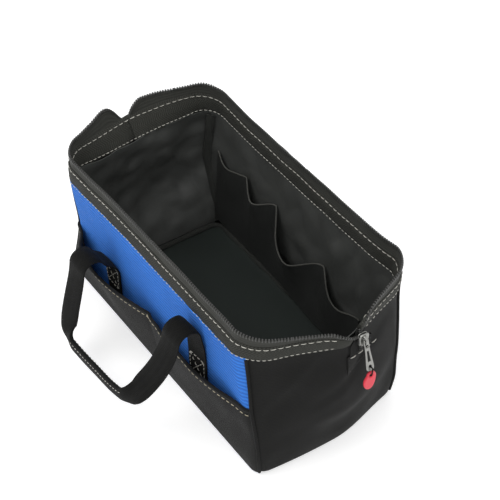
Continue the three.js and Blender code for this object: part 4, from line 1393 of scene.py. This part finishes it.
@dataclass(frozen=True)
class Rim(SidePart):
    """Half of the mouth: band over the frame wire, zip tape, chain and its two white rows."""

    wire_y: float = 91.65
    wire_z: float = 156.84
    leg: float = 171.0
    corner: float = 24.0
    far_lean: float = 0.75
    near_lean: float = 0.3
    lean_foot: float = 12.0
    tape_lean: float = 0.35
    band_low: float = -13.2
    band_high: float = 8.6
    near_narrowing: float = 9.0
    past_middle: float = 11.0
    long_from: float = 52.0
    step: float = 2.0
    folded_keep: float = 0.2
    upper_row: Stitching = Stitching(5.4, 1.4, 0.9)
    lower_row: Stitching = Stitching(3.6, 1.6, 0.85)
    lower_row_z: float = -10.2
    lower_row_out: float = 2.6
    upper_row_drop: float = 2.0
    upper_row_out: float = 2.25
    corner_lap: float = 2.5
    lap_out: float = 1.6
    tape_starts: Pair = (-10.0, 17.0)
    band_starts: Pair = (-4.0, 14.0)
    row_starts: Pair = (12.0, 20.0)
    far_start: float = -5.0
    far_row_start: float = -4.0
    sleeve_level: Numbers = (0, 0.14, 0.36, 0.6, 0.82, 1)
    sleeve_out: Numbers = (1.2, 2.3, 2.85, 2.9, 2.3, 1.1)
    tooth: Outline = (
        (-1.0, -1.3), (1.0, -1.3), (1.15, 0.4), (0.55, 1.5), (-0.55, 1.5), (-1.15, 0.4))
    tooth_rings: Outline = ((-0.85, 0.7), (-0.55, 1.0), (0.55, 1.0), (0.85, 0.7))
    tooth_size: float = 1.25
    tooth_step: float = 2.9

    @property
    def tape_table(self) -> dict[Stretch, tuple[Numbers, Numbers]]:
        """Top of the zip tape above the wire, by distance from the hinge, for the two ends."""
        if self.side is Side.FRONT:
            return {Stretch.NEAR: ((-10, 3, 18, 41, 64, 80, 92), (-6, 5, 13, 15, 17, 19, 20.6)),
                    Stretch.FAR: ((-5, 12, 16, 24.5, 31, 37, 48, 64, 83, 92),
                                  (6, 6, 15, 25, 27.5, 27, 23, 19, 17, 20))}
        return {Stretch.NEAR: ((17, 21, 28.6, 45, 60), (-4, 7, 18, 20, 20.6)),
                Stretch.FAR: ((-5, 3, 12, 31, 50, 68, 80, 92), (5, 16, 21, 20, 18, 18, 21, 19.5))}

    @property
    def folded_x(self) -> dict[Stretch, float]:
        """Where each end of the half lies when the mouth is shut: the halves pass each other."""
        if self.side is Side.FRONT:
            return {Stretch.NEAR: 171.0, Stretch.FAR: -170.0}
        return {Stretch.NEAR: 165.0, Stretch.FAR: -177.0}

    def wire_plan(self) -> tuple[Points, Points]:
        """Plan of the frame wire from the near hinge to the far one, and its outward direction."""
        start_y, flat_y, flat_x = -self.past_middle, self.wire_y - self.corner, self.leg - self.corner
        turn = np.linspace(0, math.pi / 2, 32)
        half = np.concatenate([
            coords(self.leg, np.linspace(start_y, flat_y, 28)),
            coords(flat_x + self.corner * np.cos(turn), flat_y + self.corner * np.sin(turn))[1:],
            coords(np.linspace(flat_x, 0, 66), self.wire_y)[1:]])
        whole = np.concatenate([half, (half * np.array([-1, 1]))[::-1][1:]])
        whole = resampled(whole, int(run_of(whole)[-1] / self.step))
        way = heading(whole)
        out = coords(way[:, 1], -way[:, 0])
        return whole, out

    def end_parts(self, x: Points, y: Points) -> tuple[Points, Points]:
        """Share round the corner from the long side to the end, and nearness to the end's middle."""
        share = np.clip((np.abs(x) - self.leg + self.corner) / self.corner, 0, 1)
        return share, np.maximum(1 - (y / self.wire_y) ** 2, 0)

    def end_share(self, x: Points, y: Points) -> Points:
        """0 along the long side, 1 at the middle of an end."""
        share, middle = self.end_parts(x, y)
        return share * middle

    def lean_of(self, x: Points, y: Points) -> Points:
        """How far an end leans out per millimetre of height: most at the far end's middle."""
        share, middle = self.end_parts(x, y)
        near = self.near_lean * (0.45 + 0.55 * middle)
        return share * np.where(x < 0, self.far_lean * middle ** 1.2, near)

    def at(self, index: Points, out: Points, up: Points) -> Points:
        """Points of the mouth.

        Args:
            index: Places along the frame wire's plan, in steps, fractions allowed.
            out: Distance outward from the wire.
            up: Height above the wire.

        Returns:
            Points of the bag.
        """
        index, out, up = np.broadcast_arrays(np.asarray(index, float), out, up)
        plan, normal = self.wire_plan()
        x, y, nx, ny = (np.interp(index, np.arange(len(plan)), v) for v in (*plan.T, *normal.T))
        above = np.maximum(up - self.band_high, 0)
        tall = np.minimum(up, self.band_high) + self.lean_foot + self.tape_lean * above
        total = out + self.lean_of(x, y) * tall
        sway = 0.5 * wrinkles(x, y, 131 + self.sign, (40, 120)) * (1 + 0.6 * self.end_share(x, y))
        across = self.sign * y
        z = self.wire_z + up + sway * ease(up, -10, 4)
        y_out = across + self.sign * ny * total
        return coords(x + np.sign(x) * self.plan.mouth_spread(x, across) + nx * total,
                      y_out + self.plan.settle(x, across, z), z)

    def steps_of(self, stretch: Stretch) -> Points:
        """Steps along the plan that a stretch takes, an end's a little past the seam at its corner."""
        x, y = self.wire_plan()[0].T
        if stretch is Stretch.LONG:
            return np.nonzero(y >= self.long_from)[0]
        sign = 1 if stretch is Stretch.NEAR else -1
        return np.nonzero((sign * x > 0) & (y <= self.long_from + self.corner_lap))[0]

    def beyond(self, steps: Points, near: float, far: float) -> Points:
        """Steps that lie further from the hinge than a distance for each end."""
        x, y = self.places(steps)
        return steps[y >= np.where(x > 0, near, far)]

    def places(self, steps: Points) -> tuple[Points, Points]:
        """Plan coordinates (along the bag, across it) of steps."""
        return tuple(self.wire_plan()[0][steps].T)

    def band_top(self, steps: Points) -> Points:
        """Upper edge of the band above the wire: lower towards the near hinge."""
        x, y = self.places(steps)
        return self.band_high - self.near_narrowing * (1 - ease(y, -6, 30)) * (x > 0)

    def lapped(self, steps: Points) -> tuple[Points, Points]:
        """How far a band lies out of the middle line near the hinge, and its share of full thickness."""
        _, y = self.places(steps)
        return -self.lap_out * self.sign * (1 - ease(y, 6, 20)), 0.5 + 0.5 * ease(y, 4, 18)

    def band(self, steps: Points) -> Skin:
        """Band as a lens-shaped sleeve over the wire."""
        top = self.band_top(steps)[:, None]
        off, full = (value[:, None] for value in self.lapped(steps))
        level = np.array([*self.sleeve_level, *self.sleeve_level[::-1]])[None, :]
        out = np.array([*self.sleeve_out, *(-v for v in self.sleeve_out[::-1])])[None, :]
        index = np.broadcast_to(steps[:, None], (len(steps), level.size)).astype(float)
        wave = wrinkles(index * self.step, level * 20, 141 + self.sign, (18, 60)) * 0.35
        low = self.band_low + 0.9 * wrinkles(index * self.step, 0 * index, 143, (24, 70))
        up = low + (top - low) * level
        return swept(self.at(index, off + full * (out + wave * np.sign(out)), up),
                     coords(index * self.step, level * 21.0))

    def tape_edges(self, steps: Points) -> tuple[Points, Points, Points]:
        """Foot and top of the zip tape above the wire, and how far its top hangs out beyond its foot."""
        x, y = self.places(steps)
        tables = self.tape_table
        top = np.where(x > 0, table(y, *tables[Stretch.NEAR], 3.0), table(y, *tables[Stretch.FAR], 3.0))
        foot = np.minimum(self.band_top(steps) - 3.0, top - 6.0)
        hang = 1.5 * self.end_share(x, y) + self.lapped(steps)[0]
        return foot, top, hang

    def tape_at(self, steps: Points, share: Points, out: Points) -> Points:
        """Points of the tape, with share from its foot to its top."""
        foot, top, hang = self.tape_edges(steps)
        share, out = np.broadcast_arrays(share, out)
        up = foot[:, None] + (top - foot)[:, None] * share
        off = out + hang[:, None] * np.maximum(share, 0) ** 1.6
        return self.at(steps[:, None].astype(float), off, up)

    def tape(self, steps: Points) -> Skin:
        """Zip tape with a doubled edge under the chain and a slack wave."""
        share = np.linspace(0, 1, 11)[None, :]
        run = steps[:, None] * self.step
        wave = 0.6 * wrinkles(run, share * 12, 151 + self.sign, (22, 70)) * share
        half = 0.45 + 0.35 * ease(share, 0.72, 0.8) - 0.2 * ease(share, 0.95, 1)
        cloth = coords(steps[:, None] * self.step, share * 14)
        return slab(self.tape_at(steps, share, wave + half), self.tape_at(steps, share, wave - half), cloth)

    def chain(self, steps: Points) -> Skin:
        """Row of zip teeth along the tape's top, on a cord that carries them."""
        line, below = (self.tape_at(steps, np.full((1, 1), share), 0.0)[:, 0] for share in (1.0, 0.85))
        up = unit(line - below)
        run = run_of(line)
        at = np.linspace(0.8, run[-1] - 0.8, max(2, int(run[-1] / self.tooth_step)))
        place, rise = read_at(at, run, line), unit(read_at(at, run, up))
        way = heading(place)
        side = unit(np.cross(way, rise))
        wide, tall = self.tooth_size * np.array(self.tooth).T[:, None, :, None]
        flat = wide * side[:, None] + tall * rise[:, None]
        teeth = np.stack([place[:, None] + way[:, None] * off + shrink * flat
                          for off, shrink in self.tooth_rings], 1)
        parts = [swept(tooth, np.zeros((*tooth.shape[:2], 2)) + run_at) for tooth, run_at in zip(teeth, at)]
        cord = tube(resampled(line - up * 1.1, max(8, len(steps))), 0.95, 6)
        return joined([cord, *parts])

    def rows(self, steps: Points) -> Skin:
        """White rows on both faces: one under the tape and one along the band's lower edge."""
        steps = self.beyond(steps, self.pick(*self.row_starts), self.far_row_start)
        top = self.band_top(steps)
        made = []
        low = np.full(len(steps), self.lower_row_z)
        for up, off, stitch in ((top - self.upper_row_drop, self.upper_row_out, self.upper_row),
                                (low, self.lower_row_out, self.lower_row)):
            wave = 0.5 * wrinkles(steps * self.step, up, 161, (30, 80))
            for face in (1, -1):
                line, away = (self.at(steps, face * level, up + wave) for level in (off, off + 1))
                made.append(stitch.row(line, unit(away - line)))
        return joined(made)

    def build(self) -> list[Piece]:
        """Makes the half's pieces, each in three stretches, the end stretches each with a mesh of its own.
        """
        made, word = [], self.word
        for stretch in Stretch:
            steps, mid = self.steps_of(stretch), stretch is Stretch.LONG
            taped = self.beyond(steps, self.pick(*self.tape_starts), self.far_start)
            steps = self.beyond(steps, self.pick(*self.band_starts), self.far_start)
            rivet = [f"{stretch.value}_frame_rivet"] if self.side is Side.FRONT else []
            for name, skin, finish, nodes, end_nodes in (
                    ("band", self.band(steps), BAND, ["outer_band", "inner_band", "frame_wire"], rivet),
                    ("band_stitches", self.rows(steps), WHITE_THREAD, [], []),
                    ("zip_tape", self.tape(taped), ZIP_TAPE, ["zip_tape"], []),
                    ("zip_teeth", self.chain(taped), CHAIN, ["zip_teeth"], [])):
                piece = dress(f"{self.title}_{stretch.value}_{name}", skin, finish, f"{word}_rim",
                              [f"{word}_{node}" for node in nodes] if mid else end_nodes, 55)
                if not mid:
                    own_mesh(piece)
                made.append(piece)
        return made


# ---------------------------------------------------------------- zip end

@dataclass(frozen=True)
class Box:
    """Bounds of a CAD node, in millimetres."""

    low: Points
    high: Points

    @classmethod
    def of(cls, node: str) -> "Box":
        """The box of a node."""
        return cls(*(np.array(corner, float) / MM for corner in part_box(node)))

    @property
    def middle(self) -> Points:
        """Middle of the box."""
        return (self.low + self.high) / 2

    @property
    def size(self) -> Points:
        """Extent of the box."""
        return self.high - self.low


@dataclass(frozen=True)
class ZipEnd:
    """Slider parked at the near end: its tail on the end panel, bridge, pull and plain red tag."""

    middle_y: float = 17.0
    tail_short: float = 8.5
    tail_half: float = 12.0
    tail_narrowing: float = 6.5
    tail_step: float = 1.25
    tail_rings: Outline = ((-1.0, 0.5), (-0.6, 1), (1.6, 1), (2.0, 0.5))
    pull_hang: float = 0.3
    pull_thick: float = 1.5
    face_top: float = 144.1
    face_rise: float = 60.0
    face_swell: float = 20.5
    face_lean: float = 3.5
    patch_thick: float = 1.3
    slider_half: float = 5.6
    slider_outline: Outline = (
        (1, 0.5), (0.92, 0.75), (0.62, 0.95), (0, 1), (-0.62, 0.95), (-0.92, 0.75), (-1, 0.5), (-0.9, -0.1),
        (-0.72, -0.7), (-0.5, -1), (0.5, -1), (0.72, -0.7), (0.9, -0.1))
    pull_outline: Outline = (
        (-3, -1.6), (-2.4, -0.5), (-1.2, 0), (1.2, 0), (2.4, -0.5), (3, -1.6), (2.6, -10), (4.4, -29),
        (4.3, -31.5), (3.2, -33.3), (1.4, -34), (-1.4, -34), (-3.2, -33.3), (-4.3, -31.5), (-4.4, -29),
        (-2.6, -10))
    pull_window: Outline = ((-1.6, -8.4), (1.6, -8.4), (1.6, -1.9), (-1.6, -1.9))
    pull_slot: Outline = ((-1.0, -12), (-1.7, -23.5), (1.7, -23.5), (1.0, -12))
    tag_outline: Outline = (
        (0.05, 0), (0.3, -0.02), (0.46, -0.16), (0.5, -0.38), (0.46, -0.62), (0.34, -0.86), (0.12, -1.0),
        (-0.16, -0.98), (-0.36, -0.84), (-0.46, -0.62), (-0.44, -0.42), (-0.34, -0.28), (-0.22, -0.2),
        (-0.2, -0.1), (-0.12, -0.02))
    cord_radius: float = 0.7
    stitch: Stitching = Stitching(6.5, 1.2, 1.0)
    dark_stitch: Stitching = Stitching(2.6, 1.2, 0.6)

    def along_x(self, x: float) -> Callable:
        """Lays plate points on the near end's face, with the plate's middle at x."""
        return lambda across, up, out: coords(x + out, across + self.middle_y, up)

    def tail(self) -> list[Piece]:
        """Joined tail of the zip with its two rows of closed teeth."""
        box = Box.of("zip_tail")
        bottom, top = box.low[2], box.high[2] - self.tail_short
        z = np.linspace(bottom, top, 22)[:, None]
        half = self.tail_half - self.tail_narrowing * ease(z, 138, 150)
        y = self.middle_y + half * np.linspace(-1, 1, 15)[None, :]
        x = self.face_x(y, z) + 0.9
        tape = slab(coords(x, y, z), coords(x - 1, y, z), coords(y, z))
        teeth, turn = [], turns(8)
        for k, height in enumerate(np.arange(bottom + 3, top - 1, self.tail_step)):
            side = 1 if k % 2 else -1
            here = float(self.face_x(np.array(self.middle_y), np.array(height))) + 1.6
            rings = np.stack([coords(here + 0.95 * s * np.cos(turn), self.middle_y + side * (0.4 + w),
                                     height + 0.62 * s * np.sin(turn))
                              for w, s in self.tail_rings])
            teeth.append(swept(rings, np.zeros((*rings.shape[:2], 2)) + height))
        return [dress("Zip_tail_tape", tape, BLACK_CLOTH, "base", ["zip_tail"]),
                dress("Zip_tail_teeth", joined(teeth), CHAIN, "base")]

    def face_x(self, y: Points, z: Points) -> Points:
        """Where the tail lies: the CAD's outer face of the near end panel."""
        low = np.minimum(z, self.face_top)
        swell = self.face_swell * (1 - (1 - np.minimum(low / self.face_rise, 1)) ** 2)
        seam = PLAN.half_length - self.face_lean * low / PLAN.top
        return seam + swell * (1 - (y / PLAN.half_width) ** 2) - 0.12 * np.maximum(z - self.face_top, 0)

    def cloth_x(self, y: Points, z: Points) -> Points:
        """Where the patch lies: the near end's own outer cloth."""
        flat_y = y - PLAN.settle(PLAN.half_length + 0 * y, y, z)
        return PLAN.end(flat_y, z, EndPanels(End.NEAR).relief(y, z), End.NEAR)[..., 0]

    def patch(self) -> list[Piece]:
        """Sewn patch under the tail: folded cloth with one white row and dark stitches round it."""
        box = Box.of("zip_end_patch")
        (_, lo_y, lo_z), (_, hi_y, hi_z) = box.low, box.high
        z, y = np.meshgrid(np.linspace(lo_z, hi_z, 17), np.linspace(lo_y, hi_y, 25), indexing="ij")
        x = self.cloth_x(y, z) + 1.1 + 0.3 * wrinkles(y, z, 171, (14, 40))
        skin = slab(coords(x, y, z), coords(x - self.patch_thick, y, z), coords(y, z))
        lo_y, hi_y, lo_z, hi_z = lo_y + 2, hi_y - 2, lo_z + 2, hi_z - 2
        sides = (((lo_y, lo_z), (hi_y, lo_z)), ((lo_y, lo_z), (lo_y, hi_z)), ((hi_y, lo_z), (hi_y, hi_z)))
        rows = [self.dark_stitch.row(*self.on_patch(start, stop)) for start, stop in sides]
        line, out = self.on_patch((lo_y - 1, hi_z + 2), (hi_y + 1, hi_z + 5))
        line[:, 0] = np.maximum(line[:, 0], self.face_x(line[:, 1], line[:, 2]) + 1.5)
        white = self.stitch.row(line, out)
        return [dress("Zip_end_patch", skin, BLACK_CLOTH, "base", ["zip_end_patch"]),
                dress("Zip_end_patch_dark_stitches", joined(rows), DARK_THREAD, "base"),
                dress("Zip_end_patch_white_stitches", white, WHITE_THREAD, "base")]

    def on_patch(self, start: Pair, stop: Pair) -> tuple[Points, Points]:
        """Line over the patch and the direction out of it."""
        share = np.linspace(0, 1, 16)
        y, z = (start[k] + (stop[k] - start[k]) * share for k in (0, 1))
        return coords(self.cloth_x(y, z) + 1.3, y, z), np.broadcast_to([1.0, 0, 0], (16, 3))

    def slider(self) -> list[Piece]:
        """Slider body with rounded shoulders, and its bridge."""
        box, bridge = Box.of("slider_body"), Box.of("slider_bridge")
        half, long, middle = self.slider_half, box.size[2] / 2, box.middle[2]
        side = np.array(self.slider_outline) * np.array([half, long])
        halves = ((1, 1.9, 0.7, box.high[0] - 1.0), (0.96, 1.2, 0.4, box.low[0] + 0.4))
        plates = [plate(side * size + np.array([0, middle]), [], thick, edge, self.along_x(x))
                  for size, thick, edge, x in halves]
        z = np.linspace(middle - 0.8 * long, middle + 0.55 * long, 7)
        for s in (1, -1):
            y = self.middle_y + s * (half * (0.78 + 0.16 * (z - middle + long) / (2 * long)))
            post = coords(box.middle[0] - 0.2, y, z)
            plates.append(ribbon(post, np.tile([1.0, 0, 0], (7, 1)), np.full(7, 3.2), np.full(7, 0.9)))
        turn = np.linspace(0, math.pi, 17)
        arch = coords(bridge.low[0] - 0.6 + (bridge.size[0] - 0.3) * np.sin(turn) ** 0.7, self.middle_y,
                      bridge.middle[2] + (bridge.size[2] / 2 - 0.9) * np.cos(turn))
        flat = ribbon(arch, np.tile([0, 1.0, 0], (17, 1)), 2.6 + 0.5 * np.cos(turn) ** 2, np.full(17, 1.5))
        return [dress("Slider_body", joined(plates), STEEL, "slider", ["slider_body"], 35),
                dress("Slider_bridge", flat, STEEL, "slider", ["slider_bridge"], 35)]

    def pull(self) -> Piece:
        """Flared pull with a window for the bridge, a long slot and a hole for the cord."""
        box = Box.of("pull_tab")
        lean, drop = math.sin(self.pull_hang), math.cos(self.pull_hang)
        long = (box.size[2] - self.pull_thick * lean) / drop
        drawn = -min(up for _, up in self.pull_outline)
        outline = np.array(self.pull_outline) * np.array([1, long / drawn])
        top_x = box.low[0] + self.pull_thick / 2 * drop
        top_z = box.high[2] - self.pull_thick / 2 * lean
        holes = [np.array(self.pull_window), np.array(self.pull_slot), circle(0, 5 - long, 1.6)]
        skin = plate(rounded_ring(outline, 1), holes, self.pull_thick, 0.5, lambda across, up, out: coords(
            top_x + out * drop - up * lean, across + self.middle_y, top_z + up * drop + out * lean))
        return dress("Pull_tab", skin, STEEL, "pull", ["pull_tab"], 35)

    def tag(self) -> list[Piece]:
        """Short cord through the pull's hole, and the plain kidney-shaped tag that hangs on it."""
        box, tag = Box.of("tag_cord"), Box.of("pull_tag")
        turn = np.linspace(0, 2 * math.pi, 33)
        (x, _, z), (reach_x, _, reach_z) = box.middle, box.size / 2 - self.cord_radius
        loop = coords(x + reach_x * np.sign(np.sin(turn)) * np.abs(np.sin(turn)) ** 0.7,
                      self.middle_y + 0.4 * np.sin(2 * turn),
                      z + reach_z * np.sign(np.cos(turn)) * np.abs(np.cos(turn)) ** 0.7)
        thick, wide, long = tag.size
        outline = np.array(self.tag_outline) * np.array([wide, long])
        skin = plate(rounded_ring(outline, 2), [circle(0.6, -0.18 * long, 2.2)], thick, 1.1,
                     lambda across, up, out: coords(
                         tag.middle[0] + out, across + self.middle_y, up + tag.high[2]))
        return [dress("Tag_cord", tube(loop, self.cord_radius, 7), STRAP, "tag", ["tag_cord"]),
                dress("Pull_tag", skin, RED, "tag", ["pull_tag"], 60)]

    def build(self) -> list[Piece]:
        """Makes the zip end's pieces."""
        return [*self.tail(), *self.patch(), *self.slider(), self.pull(), *self.tag()]


# ---------------------------------------------------------------- studio

@dataclass(frozen=True)
class Studio:
    """Camera of the photograph, pale floor and plain soft light."""

    azimuth: float = 55.4
    elevation: float = 43.5
    distance: float = 1573.3
    focal_px: float = 1493.1
    target: Triple = (-32.5, 45.9, 67.6)
    frame_px: int = 500
    sensor: float = 36.0
    floor_grey: float = 0.86
    floor_glow: float = 0.46
    floor_half: float = 6.0
    world_strength: float = 0.66
    lamps: tuple[tuple[str, Triple, float, float], ...] = (
        ("key", (-0.5, -1.1, 2.0), 1.4, 17), ("fill", (1.7, -0.6, 1.6), 1.6, 11),
        ("back", (-0.8, 1.5, 1.5), 1.2, 7))

    def camera(self) -> None:
        """Makes the camera and the view settings."""
        turn, rise = math.radians(self.azimuth), math.radians(self.elevation)
        back = Vector((math.sin(turn) * math.cos(rise), -math.cos(turn) * math.cos(rise), math.sin(rise)))
        lens = bpy.data.cameras.new("camera")
        lens.sensor_width, lens.lens = self.sensor, self.focal_px * self.sensor / self.frame_px
        lens.clip_start, lens.clip_end = 0.05, 50
        holder = bpy.data.objects.new("camera", lens)
        holder.location = (Vector(self.target) + back * self.distance) * MM
        holder.rotation_euler = (-back).to_track_quat("-Z", "Y").to_euler()
        bpy.context.scene.collection.objects.link(holder)
        bpy.context.scene.camera = holder
        bpy.context.scene.view_settings.view_transform = "Standard"

    def backdrop_share(self, tree: bpy.types.NodeTree) -> Socket:
        """1 for what the camera, a reflection or glass sees of the backdrop, 0 for its light."""
        path = tree.nodes.new("ShaderNodeLightPath")
        total = path.outputs["Is Camera Ray"]
        for ray in ("Is Glossy Ray", "Is Transmission Ray"):
            node = tree.nodes.new("ShaderNodeMath")
            node.operation = "MAXIMUM"
            tree.links.new(total, node.inputs[0])
            tree.links.new(path.outputs[ray], node.inputs[1])
            total = node.outputs[0]
        return total

    def world(self) -> None:
        """White surroundings that light the bag softly."""
        world = bpy.data.worlds.new("studio")
        bpy.context.scene.world = world
        world.use_nodes = True
        tree = world.node_tree
        tree.nodes.clear()
        light, seen = tree.nodes.new("ShaderNodeBackground"), tree.nodes.new("ShaderNodeBackground")
        light.inputs["Strength"].default_value = self.world_strength
        light.inputs["Color"].default_value = (1, 1, 1, 1)
        seen.inputs["Color"].default_value = (1, 1, 1, 1)
        mix, out = tree.nodes.new("ShaderNodeMixShader"), tree.nodes.new("ShaderNodeOutputWorld")
        tree.links.new(self.backdrop_share(tree), mix.inputs[0])
        tree.links.new(light.outputs[0], mix.inputs[1])
        tree.links.new(seen.outputs[0], mix.inputs[2])
        tree.links.new(mix.outputs[0], out.inputs[0])

    def floor(self) -> None:
        """Pale floor that runs to white away from the bag's shadow."""
        mesh = bpy.data.meshes.new("floor")
        corners = ((-1, -1), (1, -1), (1, 1), (-1, 1))
        points = [(x * self.floor_half, y * self.floor_half, 0) for x, y in corners]
        mesh.from_pydata(points, [], [(0, 1, 2, 3)])
        floor = bpy.data.objects.new("floor", mesh)
        bpy.context.scene.collection.objects.link(floor)
        paper = bpy.data.materials.new("studio_floor")
        paper.use_nodes = True
        tree = paper.node_tree
        shader = tree.nodes["Principled BSDF"]
        shader.inputs["Base Color"].default_value = (*[self.floor_grey] * 3, 1)
        shader.inputs["Roughness"].default_value = 0.9
        shader.inputs["Specular IOR Level"].default_value = 0.1
        glow, add = tree.nodes.new("ShaderNodeEmission"), tree.nodes.new("ShaderNodeAddShader")
        strength = tree.nodes.new("ShaderNodeMath")
        strength.operation = "MULTIPLY"
        tree.links.new(self.backdrop_share(tree), strength.inputs[0])
        strength.inputs[1].default_value = self.floor_glow
        tree.links.new(strength.outputs[0], glow.inputs["Strength"])
        tree.links.new(shader.outputs[0], add.inputs[0])
        tree.links.new(glow.outputs[0], add.inputs[1])
        tree.links.new(add.outputs[0], tree.nodes["Material Output"].inputs["Surface"])
        mesh.materials.append(paper)

    def lamp(self, name: str, place: Triple, size: float, power: float) -> None:
        """Large soft lamp aimed at the bag."""
        light = bpy.data.lights.new(name, "AREA")
        light.size, light.energy = size, power
        holder = bpy.data.objects.new(name, light)
        holder.location = place
        holder.rotation_euler = (Vector((0, 0, 0.08)) - Vector(place)).to_track_quat("-Z", "Y").to_euler()
        bpy.context.scene.collection.objects.link(holder)

    def build(self) -> None:
        """Makes the camera, surroundings, floor and lamps."""
        self.camera()
        self.world()
        self.floor()
        for lamp in self.lamps:
            self.lamp(*lamp)


def main() -> None:
    """Builds the dressed bag over its frame."""
    logging.basicConfig(level=logging.INFO, format="%(name)s: %(message)s")
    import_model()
    Studio().build()
    groups: list[tuple[str, list[Piece]]] = [("floor", Floor().build())]
    groups += [(f"{end.word} end", EndPanels(end).build()) for end in End]
    groups += [(f"{side.word} wall", LongWall(side).build()) for side in Side]
    groups.append(("inner pockets", InnerPockets().build()))
    groups += [(f"{side.word} handle", Handle(side).build()) for side in Side]
    groups += [(f"{side.word} rim", Rim(side).build()) for side in Side]
    groups.append(("zip end", ZipEnd().build()))
    carry("base_board", BOARD)
    for name, pieces in groups:
        for piece in pieces:
            LOG.info("%s: %s, %d points", name, piece.name, len(piece.data.vertices))


def carry(node: str, finish: Finish) -> None:
    """Gives a CAD node that stays in the scene its procedural finish."""
    kept = next(o for o in bpy.data.objects if o.get("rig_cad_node") == node)
    for slot in kept.material_slots:
        slot.material = finish.material()


if __name__ == "__main__":
    main()
